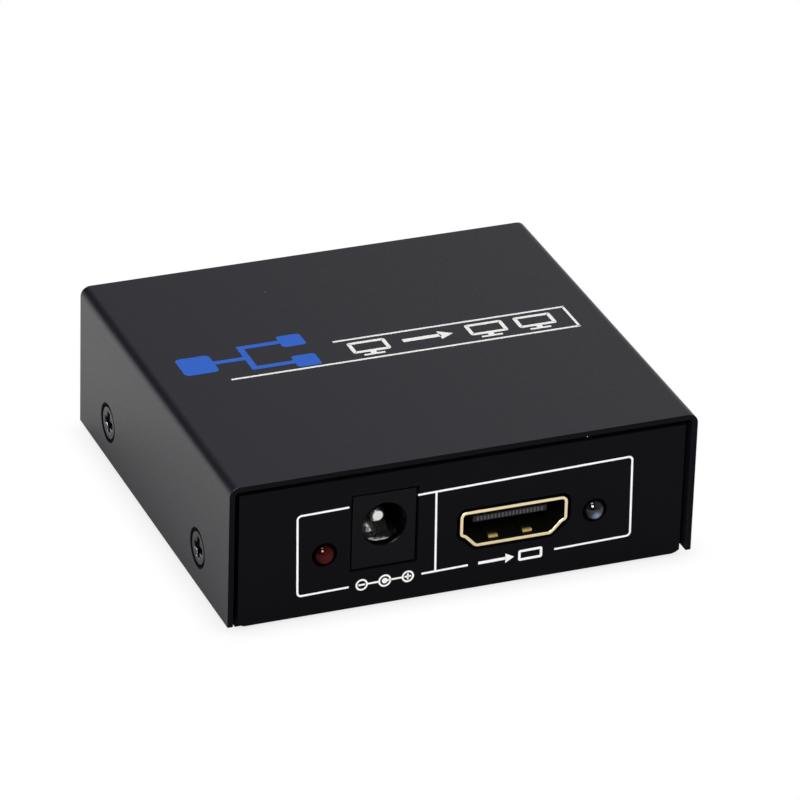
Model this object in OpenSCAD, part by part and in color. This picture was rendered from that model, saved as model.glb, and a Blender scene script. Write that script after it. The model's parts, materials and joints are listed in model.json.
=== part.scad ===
// Two-way video signal splitter in a folded steel case
// The origin is the middle of the underside: X to the right, Y to the back, Z up.
// The input side, with the power jack, faces -Y and the two outputs face +Y.

/* [Case] */
// Width over the side walls of the cover
case_width = 65; // [63:0.5:80]
// Depth of the cover, from its front edge to its back edge
case_depth = 59.5; // [57:0.5:72]
// Height from the underside to the top of the cover
case_height = 21.2; // [20:0.1:30]
// Thickness of the steel sheet of the cover and the base
sheet = 0.8; // [0.6:0.05:1]
// Inside radius of the bends along the top of the cover
cover_bend = 0.6; // [0.3:0.05:2]
// Inside radius of the bends of the base
base_bend = 0.15; // [0.05:0.05:0.5]
// Height of the lower edge of the cover above the underside
base_drop = 0.8; // [0.4:0.1:2]
// Depth of the panels behind the edges of the cover
panel_recess = 0.4; // [0.1:0.1:1]
// Gap between the side edges of the panels and the walls of the cover
side_gap = 0.7; // [0.5:0.05:1.2]
// Gap between the upper edges of the panels and the top of the cover
top_gap = 0.75; // [0.3:0.05:1.5]
// Width of the chamfer at the lower corners of the panels
relief_width = 1.3; // [0.5:0.05:1.5]
// Height of the chamfer at the lower corners of the panels
relief_height = 0.9; // [0.5:0.05:1.5]
// Width of the bend relief at either side of a side tab
tab_relief = 0.8; // [0.4:0.1:1.5]

/* [Cover screws and side tabs] */
// Distance of the cover screws from the middle, to the front and to the back
cover_screw_y = 18; // [10:0.5:20]
// Height of the cover screws above the underside
cover_screw_z = 6.35; // [5:0.05:8]
// Length of a cover screw with its countersunk head
cover_screw_length = 4.25; // [3.5:0.05:4.5]
// Thread radius of the cover screws
cover_thread_radius = 1.25; // [1.1:0.05:1.5]
// Radius of the screw heads
cover_head_radius = 2.35; // [2.1:0.05:2.5]
// Depth of the screw heads below the face of the wall
cover_screw_sink = 0.1; // [0.05:0.05:0.3]
// Width of each side tab of the base
tab_width = 12; // [8:0.5:14]
// Height of the side tabs above the underside
tab_height = 10.5; // [9.5:0.1:14]

/* [Circuit board] */
// Thickness of the circuit board
board_thickness = 1.6; // [1:0.1:2]
// Height of the standoffs between the base and the board
standoff_height = 3.6; // [2.5:0.1:5]
// Outer radius of the standoffs
standoff_radius = 2.5; // [2.2:0.05:3]
// Radius of the standoff shanks that are pressed into the base
shank_radius = 1.9; // [1.5:0.05:2.1]
// Distance of the standoffs from the side edges of the board
standoff_inset = 3.0; // [2.6:0.1:4]
// Distance of the standoffs from the middle, to the front and to the back
standoff_y = 13; // [11:0.5:14]
// Gap between the board and the tips of the cover screws
board_side_gap = 0.5; // [0.3:0.05:2]
// Gap between the board and the panels
board_panel_gap = 0.55; // [0.3:0.05:1]
// Thread radius of the board screws
board_thread_radius = 1.25; // [1:0.05:1.4]
// Head radius of the board screws
board_head_radius = 2.25; // [1.9:0.05:2.4]
// Head height of the board screws
board_head_height = 1.6; // [1.2:0.1:2]
// Thread length of the board screws
board_screw_length = 4.2; // [3:0.1:4.6]
// Length of the legs and leads below the board
tail_length = 1.0; // [0.5:0.1:1.5]

/* [Video sockets] */
// Place of the input socket along the front
input_x = 7.1; // [6:0.1:9]
// Place of the first output socket along the back
output_1_x = 14.0; // [13:0.1:15]
// Place of the second output socket along the back
output_2_x = -8.3; // [-9:0.1:-7.5]
// Outside width of a socket shell
socket_width = 15.1; // [14.6:0.05:15.4]
// Outside height of a socket shell
socket_height = 5.4; // [5.2:0.05:6.4]
// Width of the flat floor of a socket shell
socket_floor = 10.7; // [10:0.05:11]
// Height of the lower end of the straight sides above the floor of the shell
socket_side_foot = 1.9; // [1.6:0.05:2.2]
// Width of the shoulder between the straight side and the slant
socket_shoulder = 0.7; // [0.5:0.05:1]
// Drop of the shoulder towards the slant
socket_shoulder_drop = 0.35; // [0.2:0.05:0.5]
// Wall of a socket shell
socket_wall = 0.45; // [0.3:0.05:0.6]
// Depth of a socket shell
socket_depth = 11.5; // [10.5:0.1:13]
// Height of a socket shell above the board
socket_lift = 0.45; // [0.2:0.05:0.8]
// Gap between a socket shell and its panel cut-out
socket_gap = 0.45; // [0.2:0.05:0.6]
// Margin of the contact tongue beside its outermost contacts
tongue_margin = 0.5; // [0.3:0.05:1]
// Thickness of the contact tongue
tongue_thickness = 0.8; // [0.7:0.05:1.2]
// Height of the tongue above the floor of the shell
tongue_height = 2.9; // [2.5:0.05:3]
// Depth of the tip of the tongue behind the rim of the shell
tongue_recess = 1.5; // [0.8:0.1:2]
// Depth of the insulator block at the back of a socket
block_depth = 4.0; // [3:0.1:5]
// Length of the block that stands on the board behind the shell
block_heel = 0.6; // [0.4:0.05:1]
// Number of contacts on the upper side of the tongue
upper_contacts = 10; // [5:1:10]
// Spacing of the contacts in a row
contact_pitch = 1.0; // [0.9:0.05:1]
// Width of a contact
contact_width = 0.35; // [0.25:0.05:0.4]
// Thickness of a contact
contact_thickness = 0.2; // [0.1:0.05:0.3]
// Length of the foot of a contact on the board
contact_foot = 1.2; // [0.8:0.1:1.6]
// Width of the spring fingers in the shell
finger_width = 1.3; // [0.8:0.05:1.6]
// Distance of the spring fingers from the middle of the shell
finger_offset = 2.4; // [1.6:0.1:3]
// Rise of the spring fingers into the socket
finger_rise = 0.4; // [0.2:0.05:0.6]
// Width of the legs of a shell
leg_width = 1.2; // [0.8:0.1:1.6]

/* [Power jack] */
// Place of the jack along the front
jack_x = -11; // [-12:0.1:-10]
// Width of the jack
jack_width = 8.8; // [8.6:0.05:9.4]
// Height of the jack above the board
jack_height = 10.7; // [10.2:0.05:11.5]
// Depth of the jack
jack_depth = 14.2; // [13.8:0.1:15]
// Depth of the square front block
jack_block_depth = 3.5; // [3:0.1:5]
// Depth of the face of the jack behind the face of the panel
jack_recess = 0.2; // [0:0.05:0.5]
// Gap between the jack and its panel cut-out
jack_gap = 0.25; // [0.2:0.05:0.5]
// Height of the axis of the plug bore above the board
jack_axis_height = 6.05; // [5.8:0.05:6.25]
// Radius of the plug bore
jack_bore_radius = 3.05; // [2.9:0.05:3.15]
// Depth of the plug bore
jack_bore_depth = 9.6; // [9:0.1:10.2]
// Outside radius of the barrel behind the front block
jack_barrel_radius = 4.2; // [3.9:0.05:4.4]
// Radius of the centre pin
pin_radius = 1.0; // [0.65:0.05:1.25]
// Depth of the tip of the centre pin behind the face of the jack
pin_recess = 2.3; // [1:0.1:3]
// Extra radius of the centre pin where the housing holds it
pin_shoulder = 0.25; // [0.1:0.05:0.5]
// Width of the leaf contact
leaf_width = 4.0; // [3:0.1:4.2]
// Thickness of the leaf contact
leaf_thickness = 0.3; // [0.2:0.05:0.35]
// Depth of the front lip of the leaf behind the face of the jack
leaf_lip = 2.0; // [1.8:0.1:2.2]
// Depth of the crest of the leaf behind the face of the jack
leaf_crest = 5.8; // [5.2:0.1:6.5]
// Distance of the root of the leaf from the back of the jack
leaf_root_inset = 2.2; // [2:0.1:2.6]
// Rise of the front lip of the leaf above the bottom of the bore
leaf_lip_rise = 0.05; // [0:0.05:0.2]
// Rise of the crest of the leaf above the bottom of the bore
leaf_crest_rise = 0.95; // [0.6:0.05:1.05]
// Depth of the root of the leaf below the bottom of the bore
leaf_root_drop = 0.85; // [0.6:0.05:1]
// Depth of the channel of the leaf below the bottom of the bore
leaf_channel_drop = 2.1; // [2:0.05:2.2]
// Radius of the turned-down front end of the leaf
leaf_curl_radius = 0.45; // [0.3:0.05:0.5]
// Radius of the rolled root of the leaf
leaf_roll_radius = 0.35; // [0.25:0.05:0.4]
// Thickness of the jack terminals
terminal_thickness = 0.4; // [0.3:0.05:0.5]

/* [Indicator lamps] */
// Distance of the power lamp from the middle of the jack
power_lamp_offset = 8.2; // [7.5:0.1:9]
// Distance of each signal lamp from the middle of its socket
lamp_offset = 11.4; // [10.5:0.1:12]
// Radius of a lamp
lamp_radius = 1.5; // [1:0.05:1.6]
// Radius of the flange of a lamp
lamp_flange_radius = 1.9; // [1.75:0.05:2.1]
// Thickness of the flange of a lamp
lamp_flange = 1.0; // [0.6:0.1:1.4]
// Length of a lamp with its flange
lamp_length = 5.2; // [4.4:0.1:6]
// Height of the domes of the lamps in front of the panel
lamp_proud = 0.9; // [0.5:0.05:1.4]
// Height of the lamps above the board
lamp_height = 3.0; // [2.6:0.05:4]
// Gap between a lamp and its hole in the panel
lamp_gap = 0.2; // [0.1:0.05:0.4]
// Width of a lamp lead
lead_width = 0.5; // [0.4:0.05:0.6]
// Spacing of the lamp leads
lead_pitch = 2.54; // [2:0.02:2.6]

/* [Parts on the board] */
// Width of the splitter chip
splitter_width = 10; // [8:0.5:10.5]
// Thickness of the splitter chip
splitter_thickness = 1.4; // [1:0.1:2]
// Pins on each side of the splitter chip
splitter_pins = 16; // [8:1:18]
// Length of the controller chip
controller_length = 9.9; // [9.4:0.1:10.3]
// Width of the small chips without their pins
chip_width = 3.9; // [3.5:0.1:4.1]
// Length of a memory chip
memory_length = 4.9; // [4.6:0.1:5.1]
// Thickness of the small chips
chip_thickness = 1.4; // [1:0.1:1.8]
// Reach of a chip pin beyond the side of its chip
pin_reach = 1.05; // [0.8:0.05:1.2]
// Width of a voltage regulator
regulator_width = 6.5; // [6:0.1:6.8]
// Thickness of a voltage regulator
regulator_thickness = 1.6; // [1.2:0.1:1.8]
// Radius of a filter capacitor can
can_radius = 3.15; // [2.5:0.05:3.3]
// Height of a filter capacitor can
can_height = 5.4; // [4:0.1:6]
// Length of the crystal can
crystal_length = 11.2; // [10.5:0.1:11.6]
// Width of the crystal can
crystal_width = 4.6; // [4:0.1:4.8]
// Height of the crystal can
crystal_height = 3.4; // [2.5:0.1:4]
// Width of the power inductor
inductor_width = 5.0; // [4:0.1:5.4]
// Height of the power inductor
inductor_height = 2.8; // [2:0.1:4]

/* [Clearances] */
// Gap between a thread, shank or block and the hole that holds it
seat_gap = 0.05; // [0.02:0.01:0.1]
// Gap between a leg or lead and its hole in the board
hole_gap = 0.15; // [0.1:0.01:0.25]
// Gap between the moving leaf and the fixed contacts beside it
leaf_gap = 0.15; // [0.1:0.01:0.2]

/* [Hidden] */
$fn = 48;
// Overshoot of a cutting shape past the faces that it opens
cut = 0.5;
// Straight steps in a rounded corner of an outline
corner_steps = 8;

case_half = case_width / 2;
cover_half_depth = case_depth / 2;
base_half = case_half - sheet - side_gap;
panel_y = cover_half_depth - panel_recess;
panel_top = case_height - sheet - top_gap;
base_bend_outside = base_bend + sheet;
cover_bend_outside = cover_bend + sheet;
plate_half = base_half - base_bend_outside;

// The cover's wall is dimpled inwards at each screw until it seats on the side tab
dimple_depth = case_half - base_half;
dimple_hole_radius = cover_thread_radius + seat_gap;
dimple_wall = sheet * sqrt(2);
cover_screw_top = case_half - cover_screw_sink;
cover_screw_tip = cover_screw_top - cover_screw_length;
cover_head_land = base_half + cover_head_radius - cover_thread_radius;

board_half_width = cover_screw_tip - board_side_gap;
board_half_depth = panel_y - sheet - board_panel_gap;
board_bottom = sheet + standoff_height;
board_top = board_bottom + board_thickness;
standoff_x = board_half_width - standoff_inset;
tail_bottom = -board_thickness - tail_length;

// Corners of a socket shell, from its floor's left end, and their radii, negative where hollow
socket_half = socket_width / 2;
socket_slant_x = socket_half - socket_shoulder;
socket_slant_z = socket_side_foot - socket_shoulder_drop;
socket_corners = [
    [-socket_floor / 2, 0], [socket_floor / 2, 0],
    [socket_slant_x, socket_slant_z], [socket_half, socket_side_foot],
    [socket_half, socket_height], [-socket_half, socket_height],
    [-socket_half, socket_side_foot], [-socket_slant_x, socket_slant_z]
];
socket_radii = [1.0, 1.0, -0.5, 0.6, 0.9, 0.9, 0.6, -0.5];
tongue_width = (upper_contacts - 1) * contact_pitch + contact_width + 2 * tongue_margin;
block_front = socket_depth + block_heel - block_depth;
block_back = socket_depth + block_heel;
socket_back = block_back + contact_foot;
tongue_bottom = socket_lift + tongue_height;
tongue_top = tongue_bottom + tongue_thickness;
contact_proud = 0.05;
contact_setback = 0.4;
finger_thickness = 0.3;
finger_tip = 1.1;
finger_crest = 1.9;
finger_root = 4.8;
finger_slot = 0.25;
leg_places = [2.6, 8.6];

// Power jack, measured from its face, and from the board upwards
jack_y = -panel_y + jack_recess;
jack_bore_bottom = jack_axis_height - jack_bore_radius;
jack_lip = 1.2;
jack_floor = jack_bore_bottom - leaf_channel_drop;
jack_chamfer = 0.1;
jack_pocket_half = jack_width / 2 - 0.6;
pin_root_radius = pin_radius + pin_shoulder;
pin_plate_width = 3.0;
pin_plate_top = jack_axis_height + pin_root_radius;
pin_chamfer = 0.3;
leaf_root = jack_depth - leaf_root_inset;
leaf_lip_height = jack_bore_bottom + leaf_lip_rise;
leaf_crest_height = jack_bore_bottom + leaf_crest_rise;
leaf_root_height = jack_bore_bottom - leaf_root_drop;
leaf_lip_length = 1.1;
leaf_flat_root = 1.0;
leaf_steps = 14;
leaf_curl_angle = 75;
leaf_curl_steps = 5;
leaf_terminal_width = 2.4;
leaf_terminal_depth = 0.6;
switch_finger = 0.8;
switch_thickness = 0.3;
switch_outer = jack_pocket_half - leaf_gap;
leaf_ear_end = switch_outer - switch_thickness - 2 * leaf_gap;

power_lamp_x = jack_x - power_lamp_offset;
lamp_back = lamp_length - lamp_proud;
lamp_lead_drop = 1.3;

chip_lift = 0.1;
pin_thickness = 0.2;
small_pin_pitch = 1.27;
small_pin_width = 0.42;
fine_pin_pitch = 0.5;
fine_pin_width = 0.22;

// Small parts: diode, fuse, surge arrays, ceramic capacitors and resistors
diode_length = 4.2;
diode_width = 2.6;
diode_thickness = 2.0;
diode_lead_width = 1.4;
diode_lead_reach = 0.5;
fuse_length = 4.4;
fuse_width = 3.2;
fuse_thickness = 0.9;
array_length = 2.5;
array_width = 1.0;
array_thickness = 0.5;
array_offset = 2.5;
ceramic_length = 1.6;
ceramic_width = 0.8;
ceramic_pitch = 1.5;
resistor_length = 1.6;
resistor_width = 0.8;
resistor_thickness = 0.5;
resistor_pitch = 1.4;
regulator_depth = 3.5;
regulator_pin_reach = 1.75;
regulator_pin_pitch = 2.3;
regulator_pin_width = 0.7;
regulator_tab_width = 3.0;
crystal_flange = 0.4;
crystal_lead_spacing = 4.88;
can_base = 0.4;

// Places of the parts on the board: power parts follow the jack, signal parts their sockets,
// and the two columns at the sides follow the edges of the board
part_gap = 0.6;
jack_back_y = jack_y + jack_depth + terminal_thickness;
output_back_y = panel_y - socket_back;
left_inset = 7.6;
left_x = -board_half_width + left_inset;
right_inset = 9.15;
right_x = board_half_width - right_inset;
splitter_x = 6;
splitter_y = 2;
splitter_place = [splitter_x, splitter_y];
controller_x = -8;
controller_setback = 8.2;
controller_place = [controller_x, output_back_y - controller_setback];
memory_setback = 7.4;
memory_pitch = 6.2;
memory_y = output_back_y - memory_setback;
memory_places = [[right_x, memory_y - memory_pitch], [right_x, memory_y]];
regulator_y = jack_back_y + 2 * part_gap + regulator_depth / 2 + regulator_pin_reach;
regulator_1_x = -10.25;
regulator_2_x = -3.4;
regulator_places = [[regulator_1_x, regulator_y], [regulator_2_x, regulator_y]];
crystal_y = -14.2;
crystal_place = [right_x, crystal_y];
diode_y = jack_back_y + part_gap + diode_length / 2 + diode_lead_reach;
diode_place = [left_x, diode_y];
can_1_y = diode_y + diode_length / 2 + diode_lead_reach + part_gap + can_radius;
can_2_y = can_1_y + 2 * can_radius + part_gap;
can_places = [[left_x, can_1_y], [left_x, can_2_y]];
inductor_place = [left_x + part_gap, can_2_y + can_radius + part_gap + inductor_width / 2];
fuse_setback = 9;
fuse_place = [
    (jack_x + jack_width / 2 + input_x - socket_half) / 2,
    jack_y + fuse_setback
];
array_setback = 0.7;
ceramic_setback = 2.4;
resistor_setback = 1.25;
resistor_x = splitter_x - splitter_width / 2 - pin_reach - resistor_setback - resistor_length;
resistor_y = splitter_y - splitter_width / 2;

// Outlines

function unit(v) = v / norm(v);

// Angle from one direction to another, between -180 and 180
function turn(from, to) = atan2(from.x * to.y - from.y * to.x, from * to);

// Points of the arc that rounds one corner
function corner_arc(before, corner, after, radius) =
    let (
        a = unit(before - corner),
        b = unit(after - corner),
        half_angle = acos(a * b) / 2,
        reach = radius / tan(half_angle),
        centre = corner + unit(a + b) * radius / sin(half_angle),
        first = corner + a * reach - centre,
        sweep = turn(first, corner + b * reach - centre),
        start = atan2(first.y, first.x)
    )
    [
        for (i = [0 : corner_steps])
            centre + radius * [cos(start + sweep * i / corner_steps), sin(start + sweep * i / corner_steps)]
    ];

// Outline with each corner rounded to its own radius
function rounded(points, radii) =
    let (n = len(points))
    [
        for (i = [0 : n - 1])
            each radii[i] > 0
                ? corner_arc(points[(i + n - 1) % n], points[i], points[(i + 1) % n], radii[i])
                : [points[i]]
    ];

// Outline moved outwards by a distance, for points that run anticlockwise
function grown(points, distance) =
    let (n = len(points))
    [
        for (i = [0 : n - 1])
            let (
                a = unit(points[i] - points[(i + n - 1) % n]),
                b = unit(points[(i + 1) % n] - points[i]),
                normal_a = [a.y, -a.x],
                normal_b = [b.y, -b.x]
            )
            points[i] + (normal_a + normal_b) * distance / (1 + normal_a * normal_b)
    ];

// Outline of a socket shell, grown by a distance
function socket_outline(distance) =
    rounded(grown(socket_corners, distance), [for (r = socket_radii) max(abs(r + distance), 0.05)]);

// Height of the middle of the leaf contact at a depth behind the face of the jack
function leaf_height(depth) =
    let (
        lip_end = leaf_lip + leaf_lip_length,
        rise = (depth - lip_end) / (leaf_crest - lip_end),
        fall = (depth - leaf_crest) / (leaf_root - leaf_flat_root - leaf_crest)
    )
    rise < 0 ? leaf_lip_height
    : rise < 1 ? leaf_lip_height + (leaf_crest_height - leaf_lip_height) * (1 - cos(180 * rise)) / 2
    : fall < 1 ? leaf_crest_height + (leaf_root_height - leaf_crest_height) * (1 - cos(180 * fall)) / 2
    : leaf_root_height;

// Shared shapes

module along_x(from, to) {
    translate([from, 0, 0]) rotate([90, 0, 90]) linear_extrude(to - from) children();
}

module along_y(from, to) {
    translate([0, to, 0]) rotate([90, 0, 0]) linear_extrude(to - from) children();
}

// Box given by its lowest and highest corners
module block(low, high) {
    translate(low) cube(high - low);
}

module both_sides() {
    for (side = [0, 1]) mirror([side, 0, 0]) children();
}

module both_ends() {
    for (end = [0, 1]) mirror([0, end, 0]) children();
}

// Places something at the face of the front panel, on the board
module at_front(x) {
    translate([x, -panel_y, board_top]) children();
}

// Places something at the face of the back panel, on the board, facing backwards
module at_back(x) {
    rotate(180) at_front(-x) children();
}

module at_jack() {
    translate([jack_x, jack_y, board_top]) children();
}

module on_board(place) {
    translate([place.x, place.y, board_top]) children();
}

module cover_screw_places() {
    both_sides() both_ends() translate([0, cover_screw_y, cover_screw_z]) rotate([0, 90, 0]) children();
}

module standoff_places() {
    both_sides() both_ends() translate([standoff_x, standoff_y, 0]) children();
}

// Tapered cross recess, cut downwards from its top
module cross_recess(depth, span, width) {
    translate([0, 0, -depth]) intersection() {
        union() {
            translate([-span / 2, -width / 2, 0]) cube([span, width, depth + cut]);
            translate([-width / 2, -span / 2, 0]) cube([width, span, depth + cut]);
        }
        union() {
            cylinder(h = depth, r1 = width / 2, r2 = span / 2);
            translate([0, 0, depth]) cylinder(h = cut, r = span / 2);
        }
    }
}

// Case

module top_cover() {
    outline = [
        [-case_half, base_drop], [-case_half + sheet, base_drop],
        [-case_half + sheet, case_height - sheet], [case_half - sheet, case_height - sheet],
        [case_half - sheet, base_drop], [case_half, base_drop],
        [case_half, case_height], [-case_half, case_height]
    ];
    radii = [0, 0, cover_bend, cover_bend, 0, 0, cover_bend_outside, cover_bend_outside];
    boss_radius = dimple_hole_radius + dimple_wall;
    boss_depth = dimple_depth - sheet / 2;
    color([0.13, 0.13, 0.14]) difference() {
        union() {
            along_y(-cover_half_depth, cover_half_depth) polygon(rounded(outline, radii));
            cover_screw_places() translate([0, 0, base_half])
                cylinder(h = boss_depth, r1 = boss_radius, r2 = boss_radius + boss_depth);
        }
        cover_screw_places() translate([0, 0, base_half - cut]) cylinder(
            h = dimple_depth + 2 * cut,
            r1 = dimple_hole_radius - cut,
            r2 = dimple_hole_radius + dimple_depth + cut
        );
    }
}

module side_tab() {
    outline = [
        [plate_half - sheet, 0], [base_half, 0], [base_half, tab_height],
        [base_half - sheet, tab_height], [base_half - sheet, sheet], [plate_half - sheet, sheet]
    ];
    along_y(-tab_width / 2, tab_width / 2)
        polygon(rounded(outline, [0, base_bend_outside, 0, 0, base_bend, 0]));
}

module socket_cut() {
    along_y(-cut, sheet + cut) translate([0, socket_lift]) polygon(socket_outline(socket_gap));
}

module lamp_cut() {
    translate([0, -cut, lamp_height]) rotate([-90, 0, 0])
        cylinder(h = sheet + 2 * cut, r = lamp_radius + lamp_gap);
}

module jack_cut() {
    block(
        [-jack_width / 2 - jack_gap, -cut, -jack_gap],
        [jack_width / 2 + jack_gap, sheet + cut, jack_height + jack_gap]
    );
}

module base_tray() {
    outline = [
        [-panel_y, panel_top], [-panel_y, 0], [panel_y, 0], [panel_y, panel_top],
        [panel_y - sheet, panel_top], [panel_y - sheet, sheet],
        [-panel_y + sheet, sheet], [-panel_y + sheet, panel_top]
    ];
    radii = [0, base_bend_outside, base_bend_outside, 0, 0, base_bend, base_bend, 0];
    relief_end = base_half + cut;
    color([0.08, 0.08, 0.09]) difference() {
        union() {
            difference() {
                along_x(-base_half, base_half) polygon(rounded(outline, radii));
                both_sides() both_ends() translate([0, cover_screw_y, 0]) block(
                    [plate_half, -tab_width / 2 - tab_relief, -cut],
                    [relief_end, tab_width / 2 + tab_relief, sheet + cut]
                );
            }
            both_sides() both_ends() translate([0, cover_screw_y, 0]) side_tab();
        }
        both_sides() both_ends() along_y(panel_y - base_bend_outside, panel_y + cut) polygon([
            [base_half - relief_width, 0], [base_half, relief_height],
            [relief_end, relief_height], [relief_end, -cut], [base_half - relief_width, -cut]
        ]);
        cover_screw_places() translate([0, 0, base_half - sheet - cut])
            cylinder(h = sheet + 2 * cut, r = cover_thread_radius + seat_gap);
        standoff_places() translate([0, 0, -cut]) cylinder(h = sheet + 2 * cut, r = shank_radius + seat_gap);
        at_front(input_x) socket_cut();
        at_back(output_1_x) socket_cut();
        at_back(output_2_x) socket_cut();
        at_front(power_lamp_x) lamp_cut();
        at_front(input_x + lamp_offset) lamp_cut();
        at_back(output_1_x - lamp_offset) lamp_cut();
        at_back(output_2_x - lamp_offset) lamp_cut();
        at_front(jack_x) jack_cut();
    }
}

module cover_screws() {
    color([0.12, 0.12, 0.12]) cover_screw_places() difference() {
        union() {
            translate([0, 0, cover_screw_tip])
                cylinder(h = base_half - cover_screw_tip, r = cover_thread_radius);
            translate([0, 0, base_half])
                cylinder(h = cover_head_land - base_half, r1 = cover_thread_radius, r2 = cover_head_radius);
            translate([0, 0, cover_head_land])
                cylinder(h = cover_screw_top - cover_head_land, r = cover_head_radius);
        }
        translate([0, 0, cover_screw_top]) cross_recess(1.3, 3.1, 1.0);
    }
}

// Board and its fixings

module leg_holes() {
    both_sides() for (place = leg_places) block(
        [socket_half - socket_wall - hole_gap, place - hole_gap, -board_thickness - cut],
        [socket_half + hole_gap, place + leg_width + hole_gap, cut]
    );
}

module lead_holes() {
    bend = lamp_back + lamp_lead_drop;
    both_sides() block(
        [(lead_pitch - lead_width) / 2 - hole_gap, bend - hole_gap, -board_thickness - cut],
        [(lead_pitch + lead_width) / 2 + hole_gap, bend + lead_width + hole_gap, cut]
    );
}

module terminal_hole(low, high) {
    block(
        [low.x - hole_gap, low.y - hole_gap, -board_thickness - cut],
        [high.x + hole_gap, high.y + hole_gap, cut]
    );
}

module circuit_board() {
    color([0.05, 0.3, 0.15]) difference() {
        block(
            [-board_half_width, -board_half_depth, board_bottom],
            [board_half_width, board_half_depth, board_top]
        );
        standoff_places() translate([0, 0, board_bottom - cut])
            cylinder(h = board_thickness + 2 * cut, r = board_thread_radius + hole_gap);
        at_front(input_x) leg_holes();
        at_back(output_1_x) leg_holes();
        at_back(output_2_x) leg_holes();
        at_front(power_lamp_x) lead_holes();
        at_front(input_x + lamp_offset) lead_holes();
        at_back(output_1_x - lamp_offset) lead_holes();
        at_back(output_2_x - lamp_offset) lead_holes();
        at_jack() {
            terminal_hole(
                [-pin_plate_width / 2, jack_depth],
                [pin_plate_width / 2, jack_depth + terminal_thickness]
            );
            terminal_hole(
                [-leaf_terminal_width / 2, leaf_root - leaf_terminal_depth / 2],
                [leaf_terminal_width / 2, leaf_root + leaf_terminal_depth / 2]
            );
            terminal_hole(
                [switch_outer - switch_thickness, leaf_lip],
                [switch_outer, leaf_lip + switch_finger]
            );
        }
        on_board(crystal_place) both_ends() translate([0, crystal_lead_spacing / 2, -board_thickness - cut])
            cylinder(h = board_thickness + 2 * cut, r = lead_width / 2 + hole_gap);
    }
}

module board_standoffs() {
    hole_depth = board_screw_length - board_thickness + seat_gap;
    color([0.72, 0.72, 0.7]) standoff_places() difference() {
        union() {
            cylinder(h = board_bottom, r = shank_radius);
            translate([0, 0, sheet]) cylinder(h = standoff_height, r = standoff_radius);
        }
        translate([0, 0, board_bottom - hole_depth])
            cylinder(h = hole_depth + cut, r = board_thread_radius + seat_gap);
    }
}

module board_screws() {
    color([0.72, 0.72, 0.7]) standoff_places() difference() {
        union() {
            translate([0, 0, board_top - board_screw_length])
                cylinder(h = board_screw_length, r = board_thread_radius);
            translate([0, 0, board_top]) cylinder(h = board_head_height, r = board_head_radius);
        }
        translate([0, 0, board_top + board_head_height]) cross_recess(1.1, 2.4, 0.6);
    }
}

// Video sockets

// Profile of a spring finger: root, crest and turned-down tip, rising from the wall
module spring_finger() {
    low = socket_wall - finger_thickness;
    along_x(-finger_width / 2, finger_width / 2) polygon([
        [finger_root + finger_slot, low], [finger_root, low],
        [finger_crest, low + finger_rise], [finger_tip, low + finger_rise / 2],
        [finger_tip, socket_wall + finger_rise / 2], [finger_crest, socket_wall + finger_rise],
        [finger_root, socket_wall], [finger_root + finger_slot, socket_wall]
    ]);
}

module finger_window() {
    block(
        [-finger_width / 2 - finger_slot, finger_tip - finger_slot, -cut],
        [finger_width / 2 + finger_slot, finger_root, socket_wall + cut]
    );
}

// Places something on the floor of a shell, and upside down under its roof
module on_floor_and_roof() {
    both_sides() translate([finger_offset, 0, socket_lift]) children();
    both_sides() translate([finger_offset, 0, socket_lift + socket_height]) mirror([0, 0, 1]) children();
}

module socket_shell() {
    color([0.83, 0.7, 0.42]) {
        difference() {
            along_y(0, socket_depth) translate([0, socket_lift]) difference() {
                polygon(socket_outline(0));
                polygon(socket_outline(-socket_wall));
            }
            on_floor_and_roof() finger_window();
        }
        on_floor_and_roof() spring_finger();
        both_sides() for (place = leg_places) block(
            [socket_half - socket_wall, place, tail_bottom],
            [socket_half, place + leg_width, socket_lift + socket_side_foot + leg_width]
        );
    }
}

// Contact that runs back along the tongue and through the block, then down to its foot
module contact(x, level) {
    low = x - contact_width / 2;
    high = x + contact_width / 2;
    block([low, tongue_recess + contact_setback, level], [high, block_back, level + contact_thickness]);
    block([low, block_back, 0], [high, block_back + contact_thickness, level + contact_thickness]);
    block([low, block_back, 0], [high, socket_back, contact_thickness]);
}

module contact_rows() {
    reach = (upper_contacts - 1) / 2;
    for (i = [0 : upper_contacts - 1])
        contact((i - reach) * contact_pitch, tongue_top + contact_proud - contact_thickness);
    for (i = [0 : upper_contacts - 2])
        contact((i + 0.5 - reach) * contact_pitch, tongue_bottom - contact_proud);
}

module socket_insulator() {
    heel_half = socket_floor / 2;
    color([0.06, 0.06, 0.06]) difference() {
        union() {
            along_y(block_front, socket_depth) translate([0, socket_lift])
                polygon(socket_outline(-socket_wall - seat_gap));
            along_y(socket_depth, block_back) translate([0, socket_lift])
                polygon(socket_outline(-socket_wall - seat_gap));
            block([-heel_half, socket_depth + seat_gap, 0], [heel_half, block_back, tongue_bottom]);
            block(
                [-tongue_width / 2, tongue_recess, tongue_bottom],
                [tongue_width / 2, block_back, tongue_top]
            );
        }
        contact_rows();
    }
}

module socket_contacts() {
    color([0.85, 0.72, 0.4]) contact_rows();
}

module input_socket_shell() { at_front(input_x) socket_shell(); }
module input_socket_insulator() { at_front(input_x) socket_insulator(); }
module input_socket_contacts() { at_front(input_x) socket_contacts(); }
module output_1_socket_shell() { at_back(output_1_x) socket_shell(); }
module output_1_socket_insulator() { at_back(output_1_x) socket_insulator(); }
module output_1_socket_contacts() { at_back(output_1_x) socket_contacts(); }
module output_2_socket_shell() { at_back(output_2_x) socket_shell(); }
module output_2_socket_insulator() { at_back(output_2_x) socket_insulator(); }
module output_2_socket_contacts() { at_back(output_2_x) socket_contacts(); }

// Power jack

module jack_axis(depth) {
    translate([0, depth, jack_axis_height]) rotate([-90, 0, 0]) children();
}

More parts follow.
